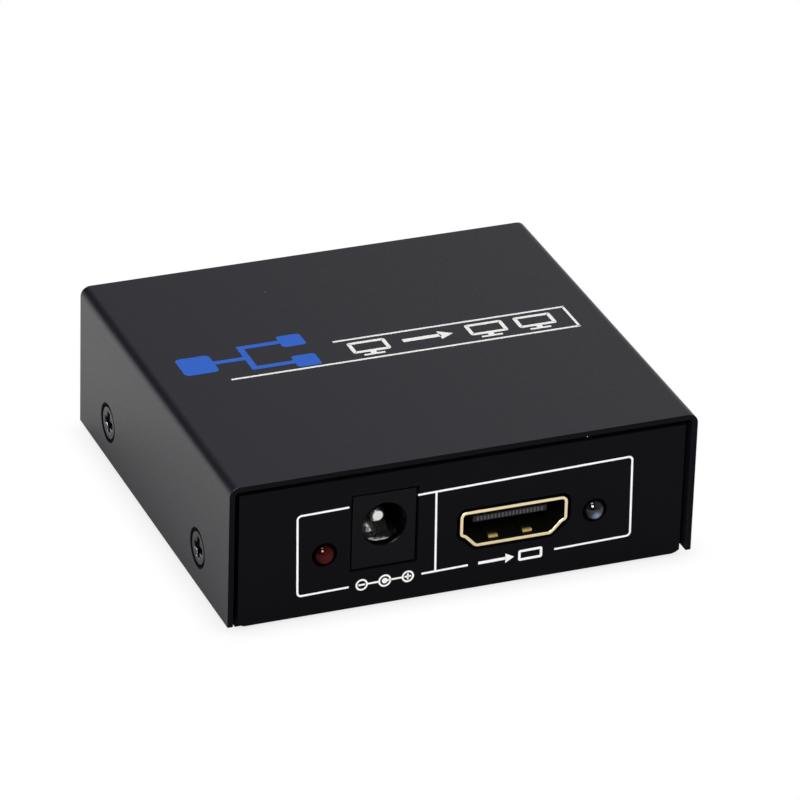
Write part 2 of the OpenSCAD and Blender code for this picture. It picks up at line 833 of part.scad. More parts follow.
module power_jack_housing() {
    half = jack_width / 2;
    terminal_half_width = leaf_terminal_width / 2 + seat_gap;
    terminal_half_depth = leaf_terminal_depth / 2 + seat_gap;
    channel_half = leaf_width / 2 + 2 * leaf_gap;
    channel_top = jack_axis_height - jack_bore_radius / 2;
    channel_back = leaf_root + leaf_roll_radius + 4 * leaf_gap;
    channel_roof = leaf_height(jack_bore_depth) + leaf_thickness / 2 + 2 * leaf_gap;
    color([0.07, 0.07, 0.08]) at_jack() difference() {
        union() {
            block([-half, 0, 0], [half, jack_block_depth, jack_height]);
            block([-half, 0, 0], [half, jack_depth, jack_axis_height]);
            jack_axis(0) cylinder(h = jack_depth, r = jack_barrel_radius);
        }
        jack_axis(-cut) cylinder(h = jack_bore_depth + cut, r = jack_bore_radius);
        jack_axis(-cut) cylinder(
            h = jack_chamfer + cut,
            r1 = jack_bore_radius + jack_chamfer + cut,
            r2 = jack_bore_radius
        );
        jack_axis(jack_bore_depth - cut) cylinder(h = jack_depth, r = pin_root_radius + seat_gap);
        // Channel of the leaf, open to the bore above it
        block([-channel_half, jack_lip, jack_floor], [channel_half, jack_bore_depth, channel_top]);
        block([-channel_half, jack_lip, jack_floor], [channel_half, channel_back, channel_roof]);
        // Pocket of the ear of the leaf and the switch contact
        block(
            [0, leaf_lip - 2 * leaf_gap, jack_floor],
            [
                jack_pocket_half,
                leaf_lip + leaf_lip_length + 2 * leaf_gap,
                leaf_lip_height + leaf_thickness / 2 + 2 * leaf_gap + switch_thickness
            ]
        );
        // Slots of the terminals in the floor
        block(
            [-terminal_half_width, leaf_root - terminal_half_depth, -cut],
            [terminal_half_width, leaf_root + terminal_half_depth, jack_floor + cut]
        );
        block(
            [switch_outer - switch_thickness - seat_gap, leaf_lip - seat_gap, -cut],
            [switch_outer + seat_gap, leaf_lip + switch_finger + seat_gap, jack_floor + cut]
        );
    }
}

module power_jack_center_pin() {
    color([0.86, 0.86, 0.84]) at_jack() {
        jack_axis(pin_recess) cylinder(h = pin_chamfer, r1 = pin_radius - pin_chamfer, r2 = pin_radius);
        jack_axis(pin_recess + pin_chamfer)
            cylinder(h = jack_depth - pin_recess - pin_chamfer, r = pin_radius);
        jack_axis(jack_bore_depth) cylinder(h = jack_depth - jack_bore_depth, r = pin_root_radius);
        block(
            [-pin_plate_width / 2, jack_depth, tail_bottom],
            [pin_plate_width / 2, jack_depth + terminal_thickness, pin_plate_top]
        );
    }
}

module power_jack_leaf() {
    middle = [
        for (i = [0 : leaf_steps])
            let (depth = leaf_lip + (leaf_root - leaf_lip) * i / leaf_steps)
            [depth, leaf_height(depth)]
    ];
    half = [0, leaf_thickness / 2];
    // The front end turns down round this centre, from its tip back to the lip
    turn = [leaf_lip, leaf_lip_height - leaf_curl_radius];
    curl = [
        for (i = [0 : leaf_curl_steps - 1])
            let (angle = leaf_curl_angle * (1 - i / leaf_curl_steps))
            [-sin(angle), cos(angle)]
    ];
    outside = leaf_curl_radius + leaf_thickness / 2;
    inside = leaf_curl_radius - leaf_thickness / 2;
    color([0.8, 0.8, 0.78]) at_jack() {
        along_x(-leaf_width / 2, leaf_width / 2) polygon(concat(
            [for (ray = curl) turn + outside * ray],
            [for (p = middle) p + half],
            [for (i = [0 : leaf_steps]) middle[leaf_steps - i] - half],
            [for (i = [0 : leaf_curl_steps - 1]) turn + inside * curl[leaf_curl_steps - 1 - i]]
        ));
        translate([-leaf_width / 2, leaf_root, leaf_root_height]) rotate([0, 90, 0])
            cylinder(h = leaf_width, r = leaf_roll_radius);
        block(
            [0, leaf_lip, leaf_lip_height - leaf_thickness / 2],
            [leaf_ear_end, leaf_lip + leaf_lip_length, leaf_lip_height + leaf_thickness / 2]
        );
    }
}

module power_jack_leaf_terminal() {
    color([0.8, 0.8, 0.78]) at_jack() block(
        [-leaf_terminal_width / 2, leaf_root - leaf_terminal_depth / 2, tail_bottom],
        [
            leaf_terminal_width / 2,
            leaf_root + leaf_terminal_depth / 2,
            leaf_root_height - leaf_roll_radius - leaf_gap
        ]
    );
}

module power_jack_switch_contact() {
    low = leaf_lip_height + leaf_thickness / 2 + leaf_gap;
    color([0.8, 0.8, 0.78]) at_jack() {
        block(
            [switch_outer - switch_thickness, leaf_lip, tail_bottom],
            [switch_outer, leaf_lip + switch_finger, low + switch_thickness]
        );
        block(
            [(leaf_width / 2 + leaf_ear_end) / 2, leaf_lip, low],
            [switch_outer, leaf_lip + switch_finger, low + switch_thickness]
        );
    }
}

// Indicator lamps

// Domed lamp body with its flange, turned about its axis
module lamp() {
    translate([0, -lamp_proud, lamp_height]) rotate([-90, 0, 0]) {
        intersection() {
            translate([0, 0, lamp_radius]) sphere(r = lamp_radius);
            cylinder(h = lamp_radius, r = lamp_radius + cut);
        }
        translate([0, 0, lamp_radius]) cylinder(h = lamp_length - lamp_radius, r = lamp_radius);
        translate([0, 0, lamp_length - lamp_flange]) cylinder(h = lamp_flange, r = lamp_flange_radius);
    }
}

module lamp_lead_pair() {
    bend = lamp_back + lamp_lead_drop;
    both_sides() {
        block(
            [(lead_pitch - lead_width) / 2, lamp_back, lamp_height - lead_width / 2],
            [(lead_pitch + lead_width) / 2, bend + lead_width, lamp_height + lead_width / 2]
        );
        block(
            [(lead_pitch - lead_width) / 2, bend, tail_bottom],
            [(lead_pitch + lead_width) / 2, bend + lead_width, lamp_height + lead_width / 2]
        );
    }
}

module power_lamp() { color([0.5, 0.03, 0.03]) at_front(power_lamp_x) lamp(); }
module input_lamp() { color([0.75, 0.8, 0.9]) at_front(input_x + lamp_offset) lamp(); }
module output_1_lamp() { color([0.75, 0.8, 0.9]) at_back(output_1_x - lamp_offset) lamp(); }
module output_2_lamp() { color([0.75, 0.8, 0.9]) at_back(output_2_x - lamp_offset) lamp(); }

module lamp_leads() {
    color([0.75, 0.75, 0.73]) {
        at_front(power_lamp_x) lamp_lead_pair();
        at_front(input_x + lamp_offset) lamp_lead_pair();
        at_back(output_1_x - lamp_offset) lamp_lead_pair();
        at_back(output_2_x - lamp_offset) lamp_lead_pair();
    }
}

// Parts on the board

module chip_body(length, width, thickness) {
    block([-length / 2, -width / 2, chip_lift], [length / 2, width / 2, chip_lift + thickness]);
}

// Row of bent pins along X, on the side of a chip that faces +Y
module pin_row(count, pitch, width, body_side, height, reach) {
    knee = reach / 2;
    for (i = [0 : count - 1])
        along_x((i - (count - 1) / 2) * pitch - width / 2, (i - (count - 1) / 2) * pitch + width / 2)
            polygon([
                [body_side, height], [body_side, height + pin_thickness],
                [body_side + knee, height + pin_thickness], [body_side + knee, pin_thickness],
                [body_side + reach, pin_thickness], [body_side + reach, 0],
                [body_side + knee - pin_thickness, 0], [body_side + knee - pin_thickness, height]
            ]);
}

module splitter_chip() {
    color([0.1, 0.1, 0.1]) on_board(splitter_place)
        chip_body(splitter_width, splitter_width, splitter_thickness);
}

module splitter_chip_pins() {
    color([0.75, 0.75, 0.73]) on_board(splitter_place) for (quarter = [0 : 3]) rotate(90 * quarter)
        pin_row(splitter_pins, fine_pin_pitch, fine_pin_width, splitter_width / 2,
            chip_lift + splitter_thickness / 2, pin_reach);
}

module controller_chip() {
    color([0.1, 0.1, 0.1]) on_board(controller_place)
        chip_body(controller_length, chip_width, chip_thickness);
}

module controller_chip_pins() {
    pins = floor((controller_length - small_pin_width) / small_pin_pitch) + 1;
    color([0.75, 0.75, 0.73]) on_board(controller_place) both_ends()
        pin_row(pins, small_pin_pitch, small_pin_width, chip_width / 2,
            chip_lift + chip_thickness / 2, pin_reach);
}

module memory_chips() {
    color([0.1, 0.1, 0.1]) for (place = memory_places) on_board(place)
        rotate(90) chip_body(memory_length, chip_width, chip_thickness);
}

module memory_chip_pins() {
    pins = floor((memory_length - small_pin_width) / small_pin_pitch) + 1;
    color([0.75, 0.75, 0.73]) for (place = memory_places) on_board(place) rotate(90) both_ends()
        pin_row(pins, small_pin_pitch, small_pin_width, chip_width / 2,
            chip_lift + chip_thickness / 2, pin_reach);
}

module voltage_regulators() {
    color([0.1, 0.1, 0.1]) for (place = regulator_places) on_board(place)
        chip_body(regulator_width, regulator_depth, regulator_thickness);
}

module regulator_pins() {
    height = chip_lift + regulator_thickness / 2;
    color([0.75, 0.75, 0.73]) for (place = regulator_places) on_board(place) {
        mirror([0, 1, 0]) pin_row(3, regulator_pin_pitch, regulator_pin_width,
            regulator_depth / 2, height, regulator_pin_reach);
        pin_row(1, 0, regulator_tab_width, regulator_depth / 2, height, regulator_pin_reach);
    }
}

module clock_crystal() {
    half_span = (crystal_length - crystal_width) / 2;
    color([0.78, 0.78, 0.76]) on_board(crystal_place) {
        block(
            [-crystal_width / 2, -half_span, 0],
            [crystal_width / 2, half_span, crystal_flange]
        );
        both_ends() translate([0, half_span, 0]) {
            cylinder(h = crystal_flange, r = crystal_width / 2);
            cylinder(h = crystal_height, r = crystal_width / 2 - crystal_flange);
        }
        block(
            [-crystal_width / 2 + crystal_flange, -half_span, 0],
            [crystal_width / 2 - crystal_flange, half_span, crystal_height]
        );
    }
}

module crystal_leads() {
    color([0.75, 0.75, 0.73]) on_board(crystal_place) both_ends()
        translate([0, crystal_lead_spacing / 2, tail_bottom]) cylinder(h = -tail_bottom, r = lead_width / 2);
}

module filter_capacitors() {
    color([0.8, 0.8, 0.8]) for (place = can_places) on_board(place)
        translate([0, 0, can_base]) cylinder(h = can_height, r = can_radius);
}

module capacitor_bases() {
    color([0.1, 0.1, 0.1]) for (place = can_places) on_board(place)
        block([-can_radius, -can_radius, 0], [can_radius, can_radius, can_base]);
}

module power_inductor() {
    half = inductor_width / 2;
    corner = 0.8;
    color([0.25, 0.25, 0.26]) on_board(inductor_place) linear_extrude(inductor_height) polygon([
        [half - corner, half], [half, half - corner], [half, corner - half], [half - corner, -half],
        [corner - half, -half], [-half, corner - half], [-half, half - corner], [corner - half, half]
    ]);
}

module protection_diode() {
    color([0.1, 0.1, 0.1]) on_board(diode_place)
        chip_body(diode_width, diode_length, diode_thickness);
}

module diode_leads() {
    color([0.75, 0.75, 0.73]) on_board(diode_place) both_ends()
        pin_row(1, 0, diode_lead_width, diode_length / 2,
            chip_lift + diode_thickness / 2, diode_lead_reach);
}

module resettable_fuse() {
    color([0.2, 0.45, 0.3]) on_board(fuse_place) block(
        [-fuse_width / 2, -fuse_length / 2, 0],
        [fuse_width / 2, fuse_length / 2, fuse_thickness]
    );
}

// Places something behind each of the three sockets, on the board
module behind_sockets() {
    at_front(input_x) translate([0, socket_back, 0]) children();
    at_back(output_1_x) translate([0, socket_back, 0]) children();
    at_back(output_2_x) translate([0, socket_back, 0]) children();
}

module surge_arrays() {
    color([0.1, 0.1, 0.1]) behind_sockets() both_sides() block(
        [array_offset - array_length / 2, array_setback, 0],
        [array_offset + array_length / 2, array_setback + array_width, array_thickness]
    );
}

module ceramic_capacitors() {
    color([0.7, 0.6, 0.45]) behind_sockets() for (i = [-2 : 2]) block(
        [i * ceramic_pitch - ceramic_width / 2, ceramic_setback, 0],
        [i * ceramic_pitch + ceramic_width / 2, ceramic_setback + ceramic_length, ceramic_width]
    );
}

module chip_resistors() {
    color([0.12, 0.12, 0.13]) on_board([resistor_x, resistor_y]) for (i = [0 : 4]) block(
        [0, i * resistor_pitch, 0],
        [resistor_length, i * resistor_pitch + resistor_width, resistor_thickness]
    );
}

top_cover();
base_tray();
cover_screws();
circuit_board();
board_standoffs();
board_screws();
input_socket_shell();
input_socket_insulator();
input_socket_contacts();
output_1_socket_shell();
output_1_socket_insulator();
output_1_socket_contacts();
output_2_socket_shell();
output_2_socket_insulator();
output_2_socket_contacts();
power_jack_housing();
power_jack_center_pin();
power_jack_leaf();
power_jack_leaf_terminal();
power_jack_switch_contact();
power_lamp();
input_lamp();
output_1_lamp();
output_2_lamp();
lamp_leads();
splitter_chip();
splitter_chip_pins();
controller_chip();
controller_chip_pins();
memory_chips();
memory_chip_pins();
voltage_regulators();
regulator_pins();
clock_crystal();
crystal_leads();
filter_capacitors();
capacitor_bases();
power_inductor();
protection_diode();
diode_leads();
resettable_fuse();
surge_arrays();
ceramic_capacitors();
chip_resistors();
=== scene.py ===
import json
import math

import bpy
from mathutils import Matrix, Vector

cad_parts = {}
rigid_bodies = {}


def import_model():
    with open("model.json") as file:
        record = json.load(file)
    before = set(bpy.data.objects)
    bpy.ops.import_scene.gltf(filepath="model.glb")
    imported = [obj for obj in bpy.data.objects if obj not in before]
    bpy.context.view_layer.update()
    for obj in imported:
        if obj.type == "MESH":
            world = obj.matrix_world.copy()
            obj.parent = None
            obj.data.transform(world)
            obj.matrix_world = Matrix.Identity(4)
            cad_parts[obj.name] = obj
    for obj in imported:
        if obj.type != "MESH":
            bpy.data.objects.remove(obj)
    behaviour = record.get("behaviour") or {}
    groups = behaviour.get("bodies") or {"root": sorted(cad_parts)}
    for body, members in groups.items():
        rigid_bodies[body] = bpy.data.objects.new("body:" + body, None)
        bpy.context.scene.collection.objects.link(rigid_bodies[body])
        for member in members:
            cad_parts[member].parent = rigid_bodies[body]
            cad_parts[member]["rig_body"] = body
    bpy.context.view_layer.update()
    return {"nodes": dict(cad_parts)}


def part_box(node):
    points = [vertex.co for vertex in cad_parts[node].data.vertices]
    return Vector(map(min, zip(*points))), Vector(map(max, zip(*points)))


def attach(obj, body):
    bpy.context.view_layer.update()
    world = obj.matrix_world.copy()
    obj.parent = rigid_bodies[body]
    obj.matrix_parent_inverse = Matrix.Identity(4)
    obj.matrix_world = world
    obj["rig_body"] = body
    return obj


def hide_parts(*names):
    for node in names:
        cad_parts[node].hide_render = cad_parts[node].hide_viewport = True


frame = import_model()

# Camera
# A long lens looks down on the front left corner, as in a product shot. Its turn and place are
# the ones that put the corners of the case where the photograph has them.
PICTURE_SIZE = 800
LENS_PIXELS = 5885.256
SENSOR = 36.0
NEAREST = 0.05
FARTHEST = 10
camera_right = Vector((0.9314545, -0.3627645, 0.0281857))
camera_up = Vector((0.1473108, 0.4468049, 0.8824199))
camera_back = Vector((-0.3327041, -0.8177819, 0.4696176))
camera_place = Vector((-0.258845, -0.642370, 0.381999))

camera_data = bpy.data.cameras.new("camera")
camera_data.sensor_width = SENSOR
camera_data.sensor_fit = "HORIZONTAL"
camera_data.lens = SENSOR * LENS_PIXELS / PICTURE_SIZE
camera_data.clip_start = NEAREST
camera_data.clip_end = FARTHEST
camera = bpy.data.objects.new("camera", camera_data)
camera_turn = Matrix((camera_right, camera_up, camera_back)).transposed()
camera.matrix_world = Matrix.Translation(camera_place) @ camera_turn.to_4x4()
bpy.context.scene.collection.objects.link(camera)
bpy.context.scene.camera = camera


# Floor and light
# White paper under the object and a white tent around it, which show as plain white to the lens.
# Painted shade darkens the paper close to the object. Two soft lamps light it, and a flash adds the small
# glints.
def linear(code):
    """Linear colour of an sRGB hex value."""
    parts = [int(code[i:i + 2], 16) / 255 for i in (0, 2, 4)]
    return [p / 12.92 if p <= 0.04045 else ((p + 0.055) / 1.055) ** 2.4 for p in parts] + [1.0]


def add(tree, kind, inputs=None, **settings):
    """One node with its settings. An input is a value, or the output of another node."""
    node = tree.nodes.new(kind)
    for name, value in settings.items():
        setattr(node, name, value)
    for name, value in (inputs or {}).items():
        if isinstance(value, bpy.types.NodeSocket):
            tree.links.new(value, node.inputs[name])
        else:
            node.inputs[name].default_value = value
    return node


bpy.context.scene.view_settings.view_transform = "Standard"
MM = 0.001
WHITE = "FFFFFF"
PAPER = "F4F4F4"
FLOOR_SIZE = 6
FLOOR_DROP = 0.02 * MM
SHADE_SAMPLES = 8
SHADE_REACH = 60 * MM
SHADE_DEPTH = 1.5
CONTACT_REACH = 4 * MM
CONTACT_LEVEL = 0.8
CONTACT_CLOSED = 0.2
CONTACT_OPEN = 0.95
# White paper: matt to the light, and plain white to the lens and in shiny faces, with painted shade that
# darkens it near the object.
paper = bpy.data.materials.new("white paper")
paper.use_nodes = True
tree = paper.node_tree
rays = add(tree, "ShaderNodeLightPath")
mirror = add(tree, "ShaderNodeMath", {
    0: rays.outputs["Is Glossy Ray"], 1: rays.outputs["Is Transmission Ray"],
}, operation="MAXIMUM")
shade = add(tree, "ShaderNodeAmbientOcclusion", {"Distance": SHADE_REACH}, samples=SHADE_SAMPLES)
deep = add(tree, "ShaderNodeMath", {0: shade.outputs["AO"], 1: SHADE_DEPTH}, operation="POWER")
matt = add(tree, "ShaderNodeBsdfDiffuse", {"Color": linear(PAPER)})
mirrored = add(tree, "ShaderNodeEmission", {"Color": linear(WHITE), "Strength": deep.outputs[0]})
contact = add(tree, "ShaderNodeAmbientOcclusion", {"Distance": CONTACT_REACH}, samples=SHADE_SAMPLES)
faint = add(tree, "ShaderNodeMapRange", {
    "Value": contact.outputs["AO"], "From Min": CONTACT_CLOSED, "From Max": CONTACT_OPEN,
    "To Min": CONTACT_LEVEL, "To Max": 1.0,
})
# The paper that the case stands on is painted black to the lens, a painted shadow, so it can't shine through
# the case's gaps.
COVERED_X = 31.7 * MM
COVERED_Y = 26.5 * MM
spot = add(tree, "ShaderNodeTexCoord")
axes = add(tree, "ShaderNodeSeparateXYZ", {0: spot.outputs["Object"]})
across = add(tree, "ShaderNodeMath", {0: axes.outputs["X"], 1: 0.0, 2: COVERED_X}, operation="COMPARE")
along = add(tree, "ShaderNodeMath", {0: axes.outputs["Y"], 1: 0.0, 2: COVERED_Y}, operation="COMPARE")
under = add(tree, "ShaderNodeMath", {0: across.outputs[0], 1: along.outputs[0]}, operation="MULTIPLY")
open_paper = add(tree, "ShaderNodeMath", {0: faint.outputs["Result"], 1: under.outputs[0]},
                 operation="SUBTRACT", use_clamp=True)
plain = add(tree, "ShaderNodeEmission", {"Color": linear(WHITE), "Strength": open_paper.outputs[0]})
lit = add(tree, "ShaderNodeMixShader", {0: mirror.outputs[0], 1: matt.outputs[0], 2: mirrored.outputs[0]})
seen = add(tree, "ShaderNodeMixShader", {
    0: rays.outputs["Is Camera Ray"], 1: lit.outputs[0], 2: plain.outputs[0],
})
tree.links.new(seen.outputs[0], tree.nodes["Material Output"].inputs["Surface"])

bpy.ops.object.select_all(action="DESELECT")
bpy.ops.mesh.primitive_plane_add(size=FLOOR_SIZE, location=(0, 0, -FLOOR_DROP))
floor = bpy.context.object
floor.name = "floor"
floor.data.materials.append(paper)

# A black card under each wall of the cover is a dark sheet put in the gap's shade, as painted shadow. It
# keeps the paper outside from showing through from within.
CARD_SIZE = (0.05 * MM, 2 * COVERED_Y, 0.7 * MM)
SHADOW_CARD_BLACK = "060606"
shadow_card = bpy.data.materials.new("shadow card")
shadow_card.use_nodes = True
tree = shadow_card.node_tree
card_face = add(tree, "ShaderNodeBsdfDiffuse", {"Color": linear(SHADOW_CARD_BLACK)})
tree.links.new(card_face.outputs[0], tree.nodes["Material Output"].inputs["Surface"])
for side in (-1, 1):
    bpy.ops.object.select_all(action="DESELECT")
    place = (side * COVERED_X, 0, CARD_SIZE[2] / 2)
    bpy.ops.mesh.primitive_cube_add(size=1, location=place, scale=CARD_SIZE)
    card = bpy.context.object
    card.name = "card_left" if side < 0 else "card_right"
    card.data.materials.append(shadow_card)

# The tent lights matt faces evenly. In shiny faces it is dark on the left and bright on the right.
TENT_LEVEL = 0.5
LEFT_LEVEL = 0.02
RIGHT_LEVEL = 0.46
DARK_UP_TO = -0.2
BRIGHT_FROM = 0.4
SKYLINE = 0.1
world = bpy.data.worlds.new("white tent")
world.use_nodes = True
tree = world.node_tree
rays = add(tree, "ShaderNodeLightPath")
mirror = add(tree, "ShaderNodeMath", {
    0: rays.outputs["Is Glossy Ray"], 1: rays.outputs["Is Transmission Ray"],
}, operation="MAXIMUM")
spot = add(tree, "ShaderNodeTexCoord")
axes = add(tree, "ShaderNodeSeparateXYZ", {0: spot.outputs["Generated"]})
sides = add(tree, "ShaderNodeMapRange", {
    "Value": axes.outputs["X"], "From Min": DARK_UP_TO, "From Max": BRIGHT_FROM,
    "To Min": LEFT_LEVEL, "To Max": RIGHT_LEVEL,
})
skyline = add(tree, "ShaderNodeMapRange", {
    "Value": axes.outputs["Z"], "From Min": 0.0, "From Max": SKYLINE, "To Min": 1.0, "To Max": 0.0,
})
tent = add(tree, "ShaderNodeMath", {0: sides.outputs["Result"], 1: skyline.outputs["Result"]},
           operation="MAXIMUM")
light = add(tree, "ShaderNodeMapRange", {"Value": mirror.outputs[0], "To Min": TENT_LEVEL,
                                         "To Max": tent.outputs[0]})
level = add(tree, "ShaderNodeMath", {0: light.outputs["Result"], 1: rays.outputs["Is Camera Ray"]},
            operation="MAXIMUM")
tree.nodes["Background"].inputs["Color"].default_value = linear(WHITE)
tree.links.new(level.outputs[0], tree.nodes["Background"].inputs["Strength"])
bpy.context.scene.world = world

# Each line: name, place, size, watts, whether it lights matt faces, whether it shows in shiny ones.
LAMPS = [
    ("lamp above", (-0.25, -0.15, 1.0), 0.3, 3.6, True, True),
    ("lamp front", (0.15, -1.0, 0.4), 0.6, 4.5, True, False),
    ("flash", (-0.35, -0.62, 0.71), 0.3, 16.0, False, True),
]
for name, place, size, watts, matt_lit, mirrored in LAMPS:
    light = bpy.data.lights.new(name, "AREA")
    light.shape = "SQUARE"
    light.size = size
    light.energy = watts
    lamp = bpy.data.objects.new(name, light)
    lamp.location = place
    lamp.visible_diffuse = matt_lit
    lamp.visible_glossy = mirrored
    lamp.rotation_euler = (-Vector(place)).to_track_quat("-Z", "Y").to_euler()
    bpy.context.scene.collection.objects.link(lamp)


# Base tray
# One sheet of steel, punched and folded: a floor with the front and back panels turned up and
# four side tabs. It is sprayed flat black, and the paint rounds its cut edges a little.
nodes = frame["nodes"]
SHARP = math.radians(40)
WELD = 0.0005 * MM
EDGE_STEPS = 2


def softened(node, width, at_edge=lambda spot: True):
    """Copy of a CAD node whose sharp edges, or those at the wanted places, are rounded over by a width."""
    bpy.ops.object.select_all(action="DESELECT")
    piece = bpy.data.objects.new(node + "_finished", nodes[node].data.copy())
    bpy.context.scene.collection.objects.link(piece)
    bpy.context.view_layer.objects.active = piece
    piece.select_set(True)
    piece.data.materials.clear()
    bpy.ops.object.mode_set(mode="EDIT")
    bpy.ops.mesh.select_all(action="SELECT")
    bpy.ops.mesh.customdata_custom_splitnormals_clear()
    bpy.ops.mesh.remove_doubles(threshold=WELD)
    bpy.ops.object.mode_set(mode="OBJECT")
    bpy.ops.object.shade_smooth_by_angle(angle=SHARP)
    bpy.ops.object.mode_set(mode="EDIT")
    bpy.ops.mesh.select_mode(type="EDGE")
    bpy.ops.mesh.select_all(action="DESELECT")
    bpy.ops.mesh.edges_select_sharp(sharpness=SHARP)
    bpy.ops.object.mode_set(mode="OBJECT")
    points = piece.data.vertices
    for edge in piece.data.edges:
        edge.select = edge.select and all(at_edge(points[index].co) for index in edge.vertices)
    bpy.ops.object.mode_set(mode="EDIT")
    bpy.ops.mesh.bevel(offset=width, segments=EDGE_STEPS, affect="EDGES", clamp_overlap=False,
                       loop_slide=False, harden_normals=True)
    bpy.ops.object.mode_set(mode="OBJECT")
    low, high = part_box(node)
    for vertex in piece.data.vertices:
        vertex.co = [min(max(value, least), most) for value, least, most in zip(vertex.co, low, high)]
    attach(piece, nodes[node]["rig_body"])
    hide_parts(node)
    return piece


def new_finish(name, color, rough, metallic=0.0, specular=0.5):
    """A finish with its even values set, ready for its patterns."""
    finish = bpy.data.materials.new(name)
    finish.use_nodes = True
    tree = finish.node_tree
    shader = tree.nodes["Principled BSDF"]
    shader.inputs["Base Color"].default_value = linear(color)
    shader.inputs["Roughness"].default_value = rough
    shader.inputs["Metallic"].default_value = metallic
    shader.inputs["Specular IOR Level"].default_value = specular
    return finish, tree, shader


GRAIN_DETAIL = 3.0
GRAIN_LOW = 0.3
GRAIN_HIGH = 0.7


def grained(tree, shader, size, height, rough_low, rough_high):
    """Fine grain of a real size: a bump, and a roughness that wanders between two values."""
    spot = add(tree, "ShaderNodeTexCoord")
    grain = add(tree, "ShaderNodeTexNoise", {
        "Vector": spot.outputs["Object"], "Scale": 1 / size, "Detail": GRAIN_DETAIL,
    })
    rough = add(tree, "ShaderNodeMapRange", {
        "Value": grain.outputs["Fac"], "From Min": GRAIN_LOW, "From Max": GRAIN_HIGH,
        "To Min": rough_low, "To Max": rough_high,
    })
    bump = add(tree, "ShaderNodeBump", {"Height": grain.outputs["Fac"], "Distance": height})
    tree.links.new(rough.outputs["Result"], shader.inputs["Roughness"])
    tree.links.new(bump.outputs["Normal"], shader.inputs["Normal"])
    return spot


# Flat black paint: the dry, dense pigment gives back almost no light, with the faintest grit. On the cover
# and the screws the same finish is painted shade.
PANEL_BLACK = "0D0D11"
flat_paint_and_shade, tree, shader = new_finish("flat black paint and painted shade", PANEL_BLACK, rough=0.55, specular=0.03)
grained(tree, shader, size=0.35 * MM, height=0.006 * MM, rough_low=0.5, rough_high=0.6)

PANEL_Y = 29.35 * MM
CLOSE = 0.01 * MM
TRAY_EDGE = 0.08 * MM
tray = softened("base_tray", TRAY_EDGE, lambda spot: abs(spot.y) > PANEL_Y - CLOSE)
tray.data.materials.append(flat_paint_and_shade)

# Panel print
# White screen ink on the panels: a rounded line frame with a divider on each, left open at the
# jack and round the small signs. The signs are a polarity mark and arrows to and from sockets.
INK = 0.015 * MM
CORNER_STEPS = 6
HEAD_SHARE = 0.75
HEAD_OVERLAP = 0.1


def flat_bar(x_low, x_high, y_low, y_high, corner=0.0):
    """Flat rectangle in millimetres, with rounded corners if asked."""
    bpy.ops.object.select_all(action="DESELECT")
    bpy.ops.mesh.primitive_plane_add(size=MM)
    bar = bpy.context.object
    bar.scale = (x_high - x_low, y_high - y_low, 1)
    bar.location = ((x_low + x_high) / 2 * MM, (y_low + y_high) / 2 * MM, 0)
    bpy.ops.object.transform_apply(location=True, rotation=False, scale=True)
    if corner:
        bpy.ops.object.mode_set(mode="EDIT")
        bpy.ops.mesh.select_all(action="SELECT")
        bpy.ops.mesh.bevel(offset=corner * MM, segments=CORNER_STEPS, affect="VERTICES")
        bpy.ops.object.mode_set(mode="OBJECT")
    return bar


def flat_disc(x, y, radius, sides=40, turn=0.0):
    """Flat disc in millimetres, or with few sides a polygon that points up before its turn."""
    bpy.ops.object.select_all(action="DESELECT")
    bpy.ops.mesh.primitive_circle_add(vertices=sides, radius=radius * MM, fill_type="NGON",
                                      location=(x * MM, y * MM, 0), rotation=(0, 0, math.radians(turn)))
    bpy.ops.object.transform_apply(location=True, rotation=True, scale=False)
    return bpy.context.object


def select_faces(piece, wanted):
    """Leaves the piece in edit mode with only the wanted faces selected."""
    bpy.ops.object.mode_set(mode="EDIT")
    bpy.ops.mesh.select_mode(type="FACE")
    bpy.ops.mesh.select_all(action="DESELECT")
    bpy.ops.object.mode_set(mode="OBJECT")
    for face in piece.data.polygons:
        face.select = wanted(face)
    bpy.ops.object.mode_set(mode="EDIT")


def outlined(shape, line):
    """Leaves only a line of the given width round a flat shape."""
    bpy.ops.object.mode_set(mode="EDIT")
    bpy.ops.mesh.select_all(action="SELECT")
    bpy.ops.mesh.inset(thickness=line * MM, depth=0)
    bpy.ops.mesh.delete(type="FACE")
    bpy.ops.object.mode_set(mode="OBJECT")
    return shape


def gapped(shape, x_low, x_high, y_low, y_high):
    """Cuts a flat line across at two places and takes out what lies between them."""
    bpy.ops.object.select_all(action="DESELECT")
    shape.select_set(True)
    bpy.context.view_layer.objects.active = shape
    for x in (x_low, x_high):
        bpy.ops.object.mode_set(mode="EDIT")
        bpy.ops.mesh.select_all(action="SELECT")
        bpy.ops.mesh.bisect(plane_co=(x * MM, 0, 0), plane_no=(1, 0, 0))
        bpy.ops.object.mode_set(mode="OBJECT")
    select_faces(shape, lambda face: (x_low < face.center.x / MM < x_high
                                      and y_low < face.center.y / MM < y_high))
    bpy.ops.mesh.delete(type="FACE")
    bpy.ops.object.mode_set(mode="OBJECT")


def arrow(x_low, x_high, y, height, shaft):
    """Arrow to the right: a bar that ends in a triangle."""
    head = height * HEAD_SHARE
    return [
        flat_bar(x_low, x_high - head * (1 - HEAD_OVERLAP), y - shaft / 2, y + shaft / 2),
        flat_disc(x_high - head * 2 / 3, y, head * 2 / 3, sides=3, turn=-90),
    ]


